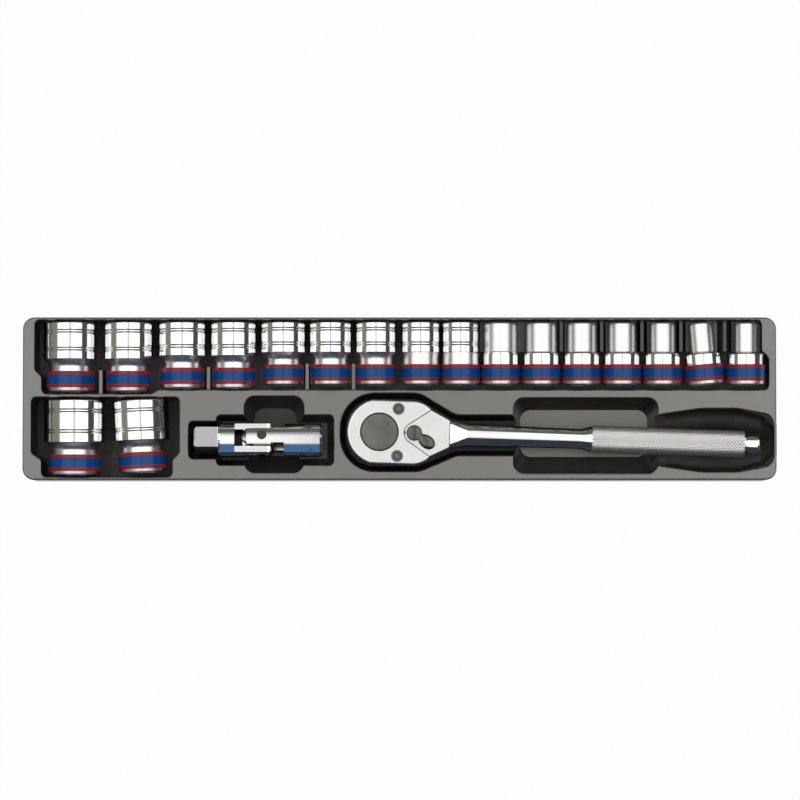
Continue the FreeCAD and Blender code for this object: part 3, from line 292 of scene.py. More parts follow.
def add_card(name, place, size, turn, shade):
    """A dark or coloured card that only polished surfaces see, as a photographer's flag."""
    deselect()
    bpy.ops.mesh.primitive_plane_add(size=1.0, location=place, rotation=turn)
    card = bpy.context.object
    card.name = name
    card.scale = (size[0], size[1], 1)
    settle(card)
    paint = bpy.data.materials.new(name)
    paint.use_nodes = True
    tree = paint.node_tree
    tree.nodes.clear()
    glow = tree.nodes.new("ShaderNodeEmission")
    glow.inputs["Color"].default_value = (*shade, 1)
    out = tree.nodes.new("ShaderNodeOutputMaterial")
    tree.links.new(glow.outputs[0], out.inputs["Surface"])
    card.data.materials.append(paint)
    card.visible_camera = False
    card.visible_diffuse = False
    card.visible_shadow = False


def make_stage():
    make_camera()
    make_world()
    make_floor()
    for name, sizes in LAMP_PAIRS.items():
        hang_pair(name, *sizes)
    for name, sizes in CARDS.items():
        add_card(name, *sizes)


# Finishes

# Sockets of a mix node: first, second, result
COLOUR_MIX = (6, 7, 2)
NUMBER_MIX = (2, 3, 0)

RELIEF = 0.0001
COAT_ROUGHNESS = 0.06
SMUDGE_SIZE = 70.0
SCRATCH_SCALE = (900.0, 90.0, 900.0)
SCRATCH_TURN = (0.3, 0.2, 0.5)

# Metals: light tone, dark tone, roughness, its spread, bump
METALS = {
    "chrome": ((0.88, 0.878, 0.865), (0.83, 0.828, 0.82), 0.11, 0.05, 0.02),
    "soft_chrome": ((0.82, 0.81, 0.8), (0.75, 0.74, 0.73), 0.3, 0.06, 0.03),
    "satin_chrome": ((0.76, 0.76, 0.75), (0.69, 0.69, 0.68), 0.33, 0.08, 0.04),
    "head_satin": ((0.66, 0.657, 0.645), (0.6, 0.597, 0.585), 0.28, 0.08, 0.015),
    "knurl_chrome": ((0.77, 0.765, 0.74), (0.71, 0.705, 0.68), 0.37, 0.06, 0.02),
    "joint_satin": ((0.56, 0.535, 0.555), (0.5, 0.475, 0.495), 0.26, 0.08, 0.04),
    "dark_phosphate": ((0.1, 0.088, 0.078), (0.05, 0.045, 0.042), 0.36, 0.14, 0.08),
    "gear_black": ((0.2, 0.196, 0.18), (0.05, 0.048, 0.043), 0.34, 0.12, 0.06),
    "screw_dark": ((0.2, 0.19, 0.18), (0.12, 0.115, 0.11), 0.36, 0.12, 0.08),
    "lever_bronze": ((0.12, 0.117, 0.1), (0.06, 0.058, 0.05), 0.2, 0.1, 0.05),
    "seam_dark": ((0.03, 0.029, 0.027), (0.02, 0.019, 0.018), 0.5, 0.1, 0.02),
    "ground_steel": ((0.24, 0.235, 0.22), (0.16, 0.155, 0.145), 0.26, 0.1, 0.04),
    "spring_wire": ((0.36, 0.36, 0.37), (0.26, 0.26, 0.27), 0.34, 0.1, 0.04),
}

# Enamels as a picture program writes them: light tone, dark tone
ENAMELS = {
    "blue_enamel": ((10, 103, 187), (4, 85, 163)),
    "red_enamel": ((208, 50, 56), (182, 38, 44)),
}

# Satin pieces that turn into chrome beyond a place along X, in metres: place, roughness there
CHROME_BEYOND = {
    "head_satin": (0.0305, 0.09),
    "joint_satin": (-0.1106, 0.07),
}
CHROME_SPREAD = 0.05

PLASTIC_LIGHT = (0.0075, 0.007, 0.0062)
PLASTIC_DARK = (0.0045, 0.0042, 0.0038)
PLASTIC_SETTINGS = {"Grain": 1500.0, "Roughness": 0.31, "Spread": 0.08}
PLASTIC_INDEX = 1.81

# Where the tray's plastic is dull, and where its sheen is darkened as painted shade, in metres
FACING_UP = 0.9
ROW_FROM = 0.002
SLOTS_FROM = 0.04
SLOT_SHARE = 0.65
HANDLE_FROM = 0.05
DEEP_BELOW = 0.0186
DEEP_ROUGHNESS = 0.72
LEDGE_FROM = 0.58
TOP_FROM = 0.985
# Sheen tints: painted shade on the beds' deep floors and, much darker, on their ledges; a warm sheen on the
# top
FLOOR_SHADE_TINT = (0.8, 0.78, 0.73, 1)
LEDGE_SHADE_TINT = (0.1, 0.1, 0.1, 1)
TOP_TINT = (1, 0.975, 0.92, 1)

SLOT_FINISH = {
    "tray_plastic": "tray_plastic",
    "socket_chrome": "chrome",
    "ratchet_chrome": "chrome",
    "joint_chrome": "chrome",
    "phosphated_steel": "dark_phosphate",
    "ground_steel": "ground_steel",
    "spring_steel": "spring_wire",
}
NODE_FINISH = {
    "ratchet_body": "head_satin",
    "cover_plate": "head_satin",
    "drive_gear": "gear_black",
    "pawl": "gear_black",
    "joint_male_yoke": "joint_satin",
    "joint_long_pin": "dark_phosphate",
    "joint_short_pins": "dark_phosphate",
}


def put(tree, kind, **values):
    """A node with some of its inputs or settings given."""
    node = tree.nodes.new(kind)
    for key, value in values.items():
        if hasattr(node, key):
            setattr(node, key, value)
        else:
            node.inputs[key.replace("_", " ")].default_value = value
    return node


def start_group(name, inputs, outputs):
    group = bpy.data.node_groups.new(name, "ShaderNodeTree")
    for label, value in inputs:
        socket = group.interface.new_socket(label, in_out="INPUT", socket_type="NodeSocketFloat")
        socket.default_value = value
    for label in outputs:
        group.interface.new_socket(label, in_out="OUTPUT", socket_type="NodeSocketFloat")
    return group, group.nodes.new("NodeGroupInput"), group.nodes.new("NodeGroupOutput")


def math_node(tree, operation, first, second):
    node = tree.nodes.new("ShaderNodeMath")
    node.operation = operation
    for place, value in enumerate((first, second)):
        if isinstance(value, (int, float)):
            node.inputs[place].default_value = value
        else:
            tree.links.new(value, node.inputs[place])
    return node.outputs[0]


def spread_roughness(group, given, out, tone):
    """Lets a group's roughness vary with its tone by the spread that it is given."""
    centred = math_node(group, "SUBTRACT", tone, 0.5)
    spread = math_node(group, "MULTIPLY", centred, given.outputs["Spread"])
    group.links.new(math_node(group, "ADD", spread, given.outputs["Roughness"]), out.inputs["Roughness"])
    group.links.new(tone, out.inputs["Tone"])


def make_handling_marks():
    """Smudges and hair scratches of handled metal, about a middle roughness."""
    group, given, out = start_group(
        "handling_marks",
        [("Size", 60.0), ("Roughness", 0.1), ("Spread", 0.05)],
        ["Roughness", "Height", "Tone"],
    )
    place = group.nodes.new("ShaderNodeTexCoord")
    smudge = put(group, "ShaderNodeTexNoise", Detail=4.0, Roughness=0.6)
    group.links.new(place.outputs["Object"], smudge.inputs["Vector"])
    group.links.new(given.outputs["Size"], smudge.inputs["Scale"])
    stretch = group.nodes.new("ShaderNodeMapping")
    stretch.inputs["Scale"].default_value = SCRATCH_SCALE
    stretch.inputs["Rotation"].default_value = SCRATCH_TURN
    group.links.new(place.outputs["Object"], stretch.inputs["Vector"])
    hair = put(group, "ShaderNodeTexNoise", Scale=1.0, Detail=3.0)
    group.links.new(stretch.outputs[0], hair.inputs["Vector"])
    group.links.new(hair.outputs["Fac"], out.inputs["Height"])
    spread_roughness(group, given, out, smudge.outputs["Fac"])
    return group


def make_moulded_grain():
    """The fine leather-like grain and faint flow marks of formed plastic."""
    group, given, out = start_group(
        "moulded_grain",
        [("Grain", 1400.0), ("Roughness", 0.45), ("Spread", 0.1)],
        ["Roughness", "Height", "Tone"],
    )
    place = group.nodes.new("ShaderNodeTexCoord")
    grain = put(group, "ShaderNodeTexVoronoi", feature="SMOOTH_F1", Smoothness=0.6)
    group.links.new(place.outputs["Object"], grain.inputs["Vector"])
    group.links.new(given.outputs["Grain"], grain.inputs["Scale"])
    flow = put(group, "ShaderNodeTexNoise", Scale=22.0, Detail=5.0, Roughness=0.62)
    group.links.new(place.outputs["Object"], flow.inputs["Vector"])
    group.links.new(grain.outputs["Distance"], out.inputs["Height"])
    spread_roughness(group, given, out, flow.outputs["Fac"])
    return group


def add_marks(tree, group, settings, light, dark):
    """A shared group with its settings, and a colour between two tones that follows it."""
    marks = tree.nodes.new("ShaderNodeGroup")
    marks.node_tree = group
    for label, value in settings.items():
        marks.inputs[label].default_value = value
    low, high, result = COLOUR_MIX
    tone = put(tree, "ShaderNodeMix", data_type="RGBA")
    tone.inputs[low].default_value = (*dark, 1)
    tone.inputs[high].default_value = (*light, 1)
    tree.links.new(marks.outputs["Tone"], tone.inputs[0])
    return marks, tone.outputs[result]


def make_finish(name, group, settings, light, dark, bump, metallic, specular=0.5, coat=0.0, index=1.5):
    """A material whose colour, roughness and relief come from one of the shared groups."""
    paint = bpy.data.materials.new(name)
    paint.use_nodes = True
    tree = paint.node_tree
    shader = tree.nodes["Principled BSDF"]
    marks, tone = add_marks(tree, group, settings, light, dark)
    tree.links.new(tone, shader.inputs["Base Color"])
    tree.links.new(marks.outputs["Roughness"], shader.inputs["Roughness"])
    relief = put(tree, "ShaderNodeBump", Strength=bump, Distance=RELIEF)
    tree.links.new(marks.outputs["Height"], relief.inputs["Height"])
    tree.links.new(relief.outputs[0], shader.inputs["Normal"])
    shader.inputs["Metallic"].default_value = metallic
    shader.inputs["Specular IOR Level"].default_value = specular
    shader.inputs["Coat Weight"].default_value = coat
    shader.inputs["Coat Roughness"].default_value = COAT_ROUGHNESS
    shader.inputs["IOR"].default_value = index
    return paint


def place_parts(tree, kind, output):
    """The three numbers of a place or direction."""
    source = tree.nodes.new(kind)
    split = tree.nodes.new("ShaderNodeSeparateXYZ")
    tree.links.new(source.outputs[output], split.inputs[0])
    return split.outputs


def blend_into(tree, socket, share, second):
    """Mixes a second value into what a shader's socket already gets."""
    coloured = socket.type == "RGBA"
    mix = put(tree, "ShaderNodeMix", data_type="RGBA" if coloured else "FLOAT")
    low, high, result = COLOUR_MIX if coloured else NUMBER_MIX
    tree.links.new(share, mix.inputs[0])
    if socket.links:
        tree.links.new(socket.links[0].from_socket, mix.inputs[low])
    else:
        mix.inputs[low].default_value = socket.default_value
    if isinstance(second, float):
        mix.inputs[high].default_value = second
    else:
        tree.links.new(second, mix.inputs[high])
    tree.links.new(mix.outputs[result], socket)


def change_along(paint, group, settings, place, light, dark):
    """Beyond a place along X a finish turns into another one of the same group."""
    tree = paint.node_tree
    shader = tree.nodes["Principled BSDF"]
    beyond = math_node(tree, "GREATER_THAN", place_parts(tree, "ShaderNodeTexCoord", "Object")[0], place)
    marks, tone = add_marks(tree, group, settings, light, dark)
    blend_into(tree, shader.inputs["Base Color"], beyond, tone)
    blend_into(tree, shader.inputs["Roughness"], beyond, marks.outputs["Roughness"])


def dull_and_shade_hollows(paint):
    """Drawn plastic is dull on the floors of its hollows; painted shade darkens its sheen a little on the
    deep floors of the tool beds and almost to black on their ledges.
    """
    tree = paint.node_tree
    shader = tree.nodes["Principled BSDF"]
    along, across, height = place_parts(tree, "ShaderNodeTexCoord", "Object")
    normal = place_parts(tree, "ShaderNodeNewGeometry", "Normal")
    up = math_node(tree, "GREATER_THAN", normal[2], FACING_UP)
    row = math_node(tree, "GREATER_THAN", across, ROW_FROM)
    slots = math_node(tree, "MULTIPLY", math_node(tree, "GREATER_THAN", along, SLOTS_FROM), SLOT_SHARE)
    tool_side = math_node(tree, "LESS_THAN", across, ROW_FROM)
    bed = math_node(tree, "MULTIPLY", up, math_node(tree, "MAXIMUM", tool_side, slots))
    not_by_handle = math_node(tree, "MAXIMUM", row, math_node(tree, "LESS_THAN", along, HANDLE_FROM))
    deep = math_node(tree, "MULTIPLY", up, math_node(tree, "LESS_THAN", height, DEEP_BELOW))
    floor = math_node(tree, "MULTIPLY", deep, not_by_handle)
    # Painted shade: by height, the sheen on the up-facing faces of the beds is dimmed on deep floors and
    # darkened on the ledges below the top
    steps = tree.nodes.new("ShaderNodeValToRGB")
    steps.color_ramp.interpolation = "CONSTANT"
    tree.links.new(math_node(tree, "DIVIDE", height, TRAY_TOP * MM), steps.inputs[0])
    steps.color_ramp.elements[0].color = FLOOR_SHADE_TINT
    steps.color_ramp.elements[1].position = TOP_FROM
    steps.color_ramp.elements[1].color = TOP_TINT
    ledge = steps.color_ramp.elements.new(LEDGE_FROM)
    ledge.color = LEDGE_SHADE_TINT
    shader.inputs["Specular Tint"].default_value = TOP_TINT
    blend_into(tree, shader.inputs["Specular Tint"], bed, steps.outputs[0])
    blend_into(tree, shader.inputs["Roughness"], floor, DEEP_ROUGHNESS)


def srgb(red, green, blue):
    """A colour as a picture program writes it, made linear."""
    parts = []
    for part in (red, green, blue):
        part /= 255
        parts.append(part / 12.92 if part <= 0.04045 else ((part + 0.055) / 1.055) ** 2.4)
    return tuple(parts)


def handled(roughness, spread):
    return {"Size": SMUDGE_SIZE, "Roughness": roughness, "Spread": spread}


def make_finishes():
    marks = make_handling_marks()
    grain = make_moulded_grain()
    made = {}
    for name, (light, dark, roughness, spread, bump) in METALS.items():
        made[name] = make_finish(name, marks, handled(roughness, spread), light, dark, bump, 1.0)
    for name, (light, dark) in ENAMELS.items():
        made[name] = make_finish(
            name, marks, handled(0.2, 0.06), srgb(*light), srgb(*dark), 0.01, 0.0, specular=0.25, coat=0.05
        )
    made["tray_plastic"] = make_finish(
        "tray_plastic", grain, PLASTIC_SETTINGS, PLASTIC_LIGHT, PLASTIC_DARK, 0.1, 0.0,
        specular=1.0, index=PLASTIC_INDEX,
    )
    dull_and_shade_hollows(made["tray_plastic"])
    light, dark = METALS["chrome"][:2]
    for name, (place, roughness) in CHROME_BEYOND.items():
        change_along(made[name], marks, handled(roughness, CHROME_SPREAD), place, light, dark)
    return made


def finish_cad_nodes(finishes):
    for name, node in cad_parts.items():
        for slot in node.material_slots:
            chosen = NODE_FINISH.get(name) or SLOT_FINISH[slot.material.name.split(".")[0]]
            slot.material = finishes[chosen]


# Sockets

# Nut-end diameter, collar diameter, length, across flats, lean in degrees
SOCKETS = {
    "socket_28": (37.9, 32.9, 45.5, 28.0, 0.0),
    "socket_26": (34.3, 29.8, 44.0, 26.0, 2.5),
    "socket_24": (32.9, 29.5, 42.0, 24.0, 0.0),
    "socket_23": (31.2, 27.3, 42.0, 23.0, 0.0),
    "socket_22": (30.2, 26.8, 40.0, 22.0, 0.0),
    "socket_21": (29.1, 26.2, 40.0, 21.0, 0.0),
    "socket_20": (28.5, 24.7, 38.0, 20.0, 0.0),
    "socket_19": (26.8, 24.6, 38.0, 19.0, 0.0),
    "socket_18": (25.7, 24.4, 38.0, 18.0, 0.0),
    "socket_17": (24.1, 24.0, 38.0, 17.0, 0.0),
    "socket_16": (23.1, 24.0, 38.0, 16.0, 0.0),
    "socket_15": (21.3, 24.0, 38.0, 15.0, 0.0),
    "socket_14": (19.9, 24.0, 38.0, 14.0, 0.0),
    "socket_13": (19.1, 24.0, 38.0, 13.0, 0.0),
    "socket_12": (17.9, 24.0, 38.0, 12.0, 0.0),
    "socket_11": (16.5, 24.0, 38.0, 11.0, 0.0),
    "socket_10": (15.5, 24.0, 38.0, 10.0, 4.5),
    "socket_09": (14.8, 24.0, 38.0, 9.0, 0.0),
}
SMALL_FROM = 15.0
STRAIGHT_FROM = 17.0
END_LENGTH = 2.3
COLLAR_END = 12.2
RED_WIDTH = 2.0
COLLAR_STEP = 0.25
SMALL_WAIST = 6.6
WIDE_WAIST = 2.4
SMALL_CONE = 1.6
WIDE_CONE = 5.0
STRAIGHT_DROP = 0.7
FLARED_DROP = 1.5
FLARE_STEPS = 8
FLARE_POWER = 1.7
SMALL_RIM = 1.5
WIDE_RIM = 0.8
RING_SHARES = (0.2, 0.69)
RING_WIDTH = 1.1
RING_GAP = 0.45
RING_DEPTH = 0.24
RING_STEPS = 6
DRIVE_SQUARE = 12.95
DRIVE_DEPTH = 16.0
HEX_SLACK = 0.3
HEX_FROM_SHARE = 0.58
CORE = 12.0
CORE_WALL = 1.2
SOCKET_FINISHES = ("chrome", "blue_enamel", "red_enamel", "satin_chrome", "soft_chrome")
BLUE_FACE, RED_FACE, SATIN_FACE, SOFT_FACE = 1, 2, 3, 4


def groove(start, radius):
    """Stations of a shallow rounded groove."""
    places = [(start - 0.1, radius)]
    for k in range(RING_STEPS + 1):
        dip = (1 - math.cos(2 * math.pi * k / RING_STEPS)) / 2
        places.append((start + RING_WIDTH * k / RING_STEPS, radius - RING_DEPTH * dip))
    return places + [(start + RING_WIDTH + 0.1, radius)]


def socket_stations(nut, collar, length, flats):
    """The turned outline of a socket from its drive end, with the places where its finish changes."""
    nut_radius, collar_radius = nut / 2, collar / 2
    small = flats <= SMALL_FROM
    waist = collar_radius - (STRAIGHT_DROP if flats <= STRAIGHT_FROM else FLARED_DROP)
    waist_start = COLLAR_END + COLLAR_STEP
    cone_start = waist_start + (SMALL_WAIST if small else WIDE_WAIST)
    nut_start = cone_start + (SMALL_CONE if small else WIDE_CONE)
    line = [(0.0, collar_radius - 1.7), (0.2, collar_radius - 1.0), (0.55, collar_radius - 0.52)]
    line += [(END_LENGTH - 0.12, collar_radius - 0.15)]
    line += [(END_LENGTH, collar_radius), (END_LENGTH + RED_WIDTH, collar_radius)]
    line += [(COLLAR_END - RED_WIDTH, collar_radius), (COLLAR_END, collar_radius), (waist_start, waist)]
    if small:
        line += [(cone_start - 1.2, waist)]
        line += arc((cone_start - 0.8, waist - 0.02), (cone_start + 0.6, nut_radius + 0.35), 5, -1)
        line += arc((cone_start + 0.7, nut_radius + 0.3), (nut_start, nut_radius), 4)
    else:
        run = nut_start - 0.35 - cone_start
        rise = nut_radius - waist - 0.3
        for k in range(FLARE_STEPS + 1):
            share = k / FLARE_STEPS
            line.append((cone_start + run * share, waist + rise * share ** FLARE_POWER))
        line += [(nut_start - 0.1, nut_radius - 0.08)]
        line += [(nut_start, nut_radius), (nut_start + 0.15, nut_radius)]
        barrel = length - nut_start
        for share in RING_SHARES:
            start = nut_start + barrel * share
            for shift in (0.0, RING_WIDTH + RING_GAP):
                line += groove(start + shift, nut_radius)
    rim = SMALL_RIM if small else WIDE_RIM
    line += [(length - rim - 0.15, nut_radius)]
    line += arc((length - rim, nut_radius), (length - 0.02, nut_radius - rim), 6, -1)
    line += [(length, nut_radius - rim - 0.05)]
    return line, nut_start, cone_start


def six_sided(across, low, high):
    deselect()
    bpy.ops.mesh.primitive_cylinder_add(
        vertices=6,
        radius=across / 2 / math.cos(math.pi / 6) * MM,
        depth=(high - low) * MM,
        location=(0, (low + high) / 2 * MM, 0),
        rotation=(QUARTER, QUARTER, 0),
    )
    tool = bpy.context.object
    settle(tool)
    return tool


def square_bar(side, low, high):
    deselect()
    bpy.ops.mesh.primitive_cube_add(size=1.0, location=(0, (low + high) / 2 * MM, 0))
    tool = bpy.context.object
    tool.scale = (side * MM, (high - low) * MM, side * MM)
    settle(tool)
    return tool


def band_socket(piece, collar_radius, small, nut_start, cone_start):
    """Gives a socket's faces their finishes by their place along its axis."""
    for face in piece.data.polygons:
        place = face.center.y / MM
        outer = math.hypot(face.center.x, face.center.z) / MM > collar_radius - 0.09
        if outer and END_LENGTH + RED_WIDTH < place < COLLAR_END - RED_WIDTH:
            face.material_index = BLUE_FACE
        elif outer and END_LENGTH < place < COLLAR_END:
            face.material_index = RED_FACE
        elif small and place > cone_start + 0.65:
            face.material_index = SATIN_FACE
        elif place < END_LENGTH or not small and COLLAR_END < place < nut_start - 0.3:
            face.material_index = SOFT_FACE


def make_socket(name, sizes, finishes):
    nut, collar, length, flats, lean = sizes
    small = flats <= SMALL_FROM
    line, nut_start, cone_start = socket_stations(nut, collar, length, flats)
    piece = turned(name + "_body", line)
    cut(piece, six_sided(flats + HEX_SLACK, length * HEX_FROM_SHARE, length + 1))
    cut(piece, square_bar(DRIVE_SQUARE, -1, DRIVE_DEPTH))
    core_radius = min(CORE, flats - CORE_WALL) / 2
    cut(piece, turned("core", [(-1, core_radius), (length + 1, core_radius)], 48))
    for finish in SOCKET_FINISHES:
        piece.data.materials.append(finishes[finish])
    band_socket(piece, collar / 2, small, nut_start, cone_start)
    edit(piece)
    bpy.ops.mesh.select_all(action="SELECT")
    bpy.ops.transform.rotate(
        value=-math.radians(lean), orient_axis="Z", center_override=(0, length / 2 * MM, 0)
    )
    close()
    low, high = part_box(name)
    own_low = Vector([min(v.co[k] for v in piece.data.vertices) for k in range(3)])
    own_high = Vector([max(v.co[k] for v in piece.data.vertices) for k in range(3)])
    piece.location = (Vector(low) + Vector(high) - own_low - own_high) / 2
    settle(piece)
    smooth(piece, 32)
    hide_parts(name)
    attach(piece, name)


# Ratchet: every place is in the ratchet's own axes, with X along its handle from the gear's centre

RATCHET_AT = (-12.2, -20.5)
RATCHET_YAW = -1.9
HEAD_TOP = 40.7
HANDLE_AXIS = 31.7
GRIP_START = 129.1
GRIP_END = 221.9
GRIP_RADIUS = 8.03
# Divisible by 4, so that the points round the grip fall on whole columns
KNURL_AROUND = 52
KNURL_ALONG = 92
KNURL_RISE = 0.3
GEAR_RADIUS = 11.35
HUB_X = 21.2
HUB_RADIUS = 4.75
HUB_DISH = [(2.32, 3.6), (2.2, 3.3), (2.0, 2.4), (1.92, 1.2)]
LEVER_REST = -34.0
TAB_LINE = [
    (3.0, 1.9), (4.4, 2.3), (5.4, 2.9), (6.6, 3.45), (8.0, 3.85), (9.4, 3.98), (10.8, 3.86),
    (12.0, 3.5), (13.0, 2.95), (13.8, 2.2), (14.3, 1.45), (14.55, 0.7),
]
TAB_FLATNESS = 0.33
TAB_HEIGHT = 1.55
SEAM_RADIUS = 6.2
SEAM_END = (31.6, 14.5)
SEAM_STEPS = 16
SEAM_HEIGHT = 0.16
SEAM_WIDTH = 0.5
THROAT_X = 42.7
THROAT_HALF = 8.8
SCREW_PLACES = {"far": (11.2, 14.3), "near": (11.2, -14.3)}
SCREW_LINE = [
    (-1.3, 3.5), (0.02, 3.5), (0.14, 3.34), (0.14, 2.7), (-0.12, 2.58), (-0.14, 2.36),
    (0.04, 2.22), (0.06, 1.9), (0.06, 1.72),
]
SCREW_HEX = 2.6
SCREW_RING_FROM = 2.62
SCREW_FACE_FROM = 1.4


def upright(piece):
    """Stands a turned piece on its own axis."""
    piece.rotation_euler = (QUARTER, 0, 0)
    settle(piece)


def lengthwise(piece):
    """Lays a turned piece along X."""
    piece.rotation_euler = (0, 0, -QUARTER)
    settle(piece)


def on_ratchet(piece, x, y, z, spin=0.0):
    """Takes a piece from its own axes to a place on the ratchet as it lies in the tray."""
    yaw = math.radians(RATCHET_YAW)
    along = RATCHET_AT[0] + x * math.cos(yaw) - y * math.sin(yaw)
    across = RATCHET_AT[1] + x * math.sin(yaw) + y * math.cos(yaw)
    piece.rotation_euler = (0, 0, yaw + math.radians(spin))
    piece.location = Vector((along, across, z)) * MM
    settle(piece)


def belongs(piece, body, finish):
    piece.data.materials.append(finish)
    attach(piece, body)


def pick_points(piece, wanted):
    """Opens a piece in edit mode with only the points chosen that a test accepts."""
    edit(piece)
    bpy.ops.mesh.select_mode(type="VERT")
    close()
    for point in piece.data.vertices:
        point.select = wanted(point.co / MM)
    bpy.ops.object.mode_set(mode="EDIT")


def make_grip(finishes):
    """The knurled sleeve: every second point of a fine grid is drawn out into a small pyramid."""
    pitch = (GRIP_END - GRIP_START) / KNURL_ALONG
    stations = [(GRIP_START + pitch * k, GRIP_RADIUS) for k in range(KNURL_ALONG + 1)]
    grip = turned("handle_grip", stations, KNURL_AROUND)

    def raised(point):
        row = round((point.y - GRIP_START) / pitch)
        column = round(math.atan2(point.z, point.x) / (2 * math.pi / KNURL_AROUND))
        return 0 < row < KNURL_ALONG and (row + column) % 2 == 0

    pick_points(grip, raised)
    bpy.ops.transform.shrink_fatten(value=KNURL_RISE * MM)
    bpy.ops.mesh.select_all(action="SELECT")
    bpy.ops.mesh.quads_convert_to_tris(quad_method="SHORTEST_DIAGONAL")
    bpy.ops.mesh.normals_make_consistent(inside=False)
    close()
    lengthwise(grip)
    on_ratchet(grip, 0, 0, HANDLE_AXIS)
    belongs(grip, "ratchet", finishes["knurl_chrome"])


def ribbon(name, points):
    """A narrow raised line through points in one plane, drawn point by point and given its width."""
    deselect()
    bpy.ops.mesh.primitive_plane_add(size=MM)
    piece = bpy.context.object
    piece.name = name
    edit(piece)
    bpy.ops.mesh.select_all(action="SELECT")
    bpy.ops.mesh.merge(type="CENTER")
    bpy.ops.transform.translate(value=(points[0][0] * MM, points[0][1] * MM, 0))
    for before, after in zip(points, points[1:]):
        step = ((after[0] - before[0]) * MM, (after[1] - before[1]) * MM, 0)
        bpy.ops.mesh.extrude_region_move(TRANSFORM_OT_translate={"value": step})
    bpy.ops.mesh.select_all(action="SELECT")
    bpy.ops.mesh.extrude_region_move(TRANSFORM_OT_translate={"value": (0, 0, SEAM_HEIGHT * MM)})
    bpy.ops.mesh.select_all(action="SELECT")
    bpy.ops.mesh.normals_make_consistent(inside=False)
    close()
    wall = piece.modifiers.new("width", "SOLIDIFY")
    wall.thickness = SEAM_WIDTH * MM
    wall.offset = 0.0
    bpy.ops.object.modifier_apply(modifier=wall.name)
    return piece


def make_seams(finishes):
    """The plate's joint, round the lever's hub and out to both shoulders, and the line at the throat."""
    reach = Vector(SEAM_END) - Vector((HUB_X, 0))
    outward = math.atan2(reach.y, reach.x)
    touch = outward + math.acos(SEAM_RADIUS / reach.length)
    bend = []
    for k in range(SEAM_STEPS + 1):
        turn = touch + (2 * math.pi - 2 * touch) * k / SEAM_STEPS
        bend.append((HUB_X + SEAM_RADIUS * math.cos(turn), SEAM_RADIUS * math.sin(turn)))
    near_end = (SEAM_END[0], -SEAM_END[1])
    plate = ribbon("plate_seam", [SEAM_END] + bend + [near_end])
    throat = ribbon("throat_seam", [(THROAT_X, THROAT_HALF), (THROAT_X, -THROAT_HALF)])
    for seam in (plate, throat):
        on_ratchet(seam, 0, 0, HEAD_TOP - SEAM_HEIGHT / 2)
        belongs(seam, "ratchet", finishes["seam_dark"])


def make_disc(name, line, body, finish):
    """A turned disc about the gear's axis on the head."""
    disc = turned(name, line)
    upright(disc)
    on_ratchet(disc, 0, 0, HEAD_TOP)
    smooth(disc, 40)
    belongs(disc, body, finish)


def make_gear_face(finishes):
    """The gear's slightly dished round face in a dark groove of the plate."""
    face = [(-0.05, GEAR_RADIUS - 0.45), (0.07, GEAR_RADIUS - 0.45), (0.1, GEAR_RADIUS - 0.6)]
    face += [(0.1 - 0.06 * k / 4, (GEAR_RADIUS - 0.8) * (1 - k / 5)) for k in range(5)]
    make_disc("gear_face", face, "gear", finishes["gear_black"])
    rim = [(-0.05, GEAR_RADIUS + 0.4), (0.05, GEAR_RADIUS + 0.4), (0.06, GEAR_RADIUS + 0.3)]
    rim += [(0.06, GEAR_RADIUS - 0.1), (0.0, GEAR_RADIUS - 0.2)]
    make_disc("gear_rim", rim, "ratchet", finishes["seam_dark"])


def make_screws(finishes):
    for label, (x, y) in SCREW_PLACES.items():
        screw = turned("cover_screw_" + label, SCREW_LINE, 48)
        cut(screw, six_sided(SCREW_HEX, -1.0, 1.0))
        upright(screw)
        on_ratchet(screw, x, y, HEAD_TOP)
        smooth(screw, 25)
        belongs(screw, "ratchet", finishes["screw_dark"])
        screw.data.materials.append(finishes["dark_phosphate"])
        screw.data.materials.append(finishes["gear_black"])
        # Painted shade: the dished inner face and the hex recess take darker metals than the outer ring, in
        # place of the dark that their slopes and hollow reflect
        middle = sum((point.co for point in screw.data.vertices), Vector()) / len(screw.data.vertices)
        for face in screw.data.polygons:
            out = (face.center - middle).xy.length / MM
            face.material_index = 0 if out > SCREW_RING_FROM else 1 if out > SCREW_FACE_FROM else 2
        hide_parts("cover_screws")


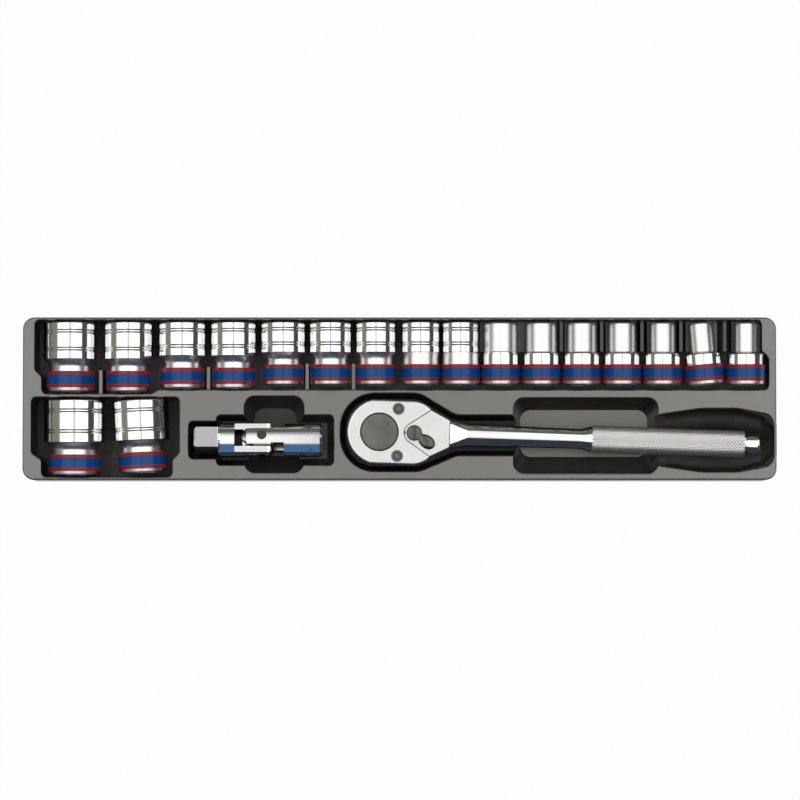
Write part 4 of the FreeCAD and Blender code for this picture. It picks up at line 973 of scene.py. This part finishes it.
def make_lever(finishes):
    """A low round hub with a dished top and a pebble-shaped thumb tab."""
    line = [(0.15, HUB_RADIUS - 0.3), (0.4, HUB_RADIUS), (1.7, HUB_RADIUS)]
    line += arc((1.75, HUB_RADIUS - 0.02), (2.3, HUB_RADIUS - 0.6), 5, -1)
    hub = turned("reversing_lever_body", line + HUB_DISH, 64)
    upright(hub)
    tab = turned("tab", TAB_LINE, 48)
    edit(tab)
    bpy.ops.mesh.select_all(action="SELECT")
    bpy.ops.transform.resize(value=(1, 1, TAB_FLATNESS), center_override=(0, 0, 0))
    close()
    tab.location = (0, 0, TAB_HEIGHT * MM)
    settle(tab)
    lengthwise(tab)
    combine(hub, tab, "UNION")
    on_ratchet(hub, HUB_X, 0, HEAD_TOP, LEVER_REST)
    smooth(hub, 40)
    belongs(hub, "lever", finishes["lever_bronze"])
    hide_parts("reversing_lever")


def make_ratchet(finishes):
    make_grip(finishes)
    make_seams(finishes)
    make_gear_face(finishes)
    make_screws(finishes)
    make_lever(finishes)


# Universal joint

JOINT_AT = (-83.5, -25.4, 31.8)
JOINT_RADIUS = 10.2
BARREL_LINES = (29.4, 30.3)
BEAD_HALF = 0.224
BEAD_RISE = 0.14
BEAD_STEPS = 8


def make_joint(finishes):
    """Fine turned beads near the open end of the joint: one ring with a round crown, and its copy."""
    crown = []
    for k in range(BEAD_STEPS + 1):
        turn = math.pi * k / BEAD_STEPS
        crown.append((-BEAD_HALF * math.cos(turn), JOINT_RADIUS + BEAD_RISE * math.sin(turn)))
    first = turned("joint_bead_first", crown)
    cut(first, turned("core", [(-1, JOINT_RADIUS - BEAD_RISE), (1, JOINT_RADIUS - BEAD_RISE)]))
    lengthwise(first)
    bpy.ops.object.duplicate(linked=False)
    second = bpy.context.object
    second.name = "joint_bead_second"
    for bead, place in zip((first, second), BARREL_LINES):
        bead.location = (Vector(JOINT_AT) + Vector((place, 0, 0))) * MM
        settle(bead)
        smooth(bead, 60)
        belongs(bead, "joint_female", finishes["soft_chrome"])


def main():
    scene = bpy.context.scene
    scene.view_settings.view_transform = "Standard"
    make_stage()
    finishes = make_finishes()
    finish_cad_nodes(finishes)
    for name, sizes in SOCKETS.items():
        make_socket(name, sizes, finishes)
    make_ratchet(finishes)
    make_joint(finishes)


main()
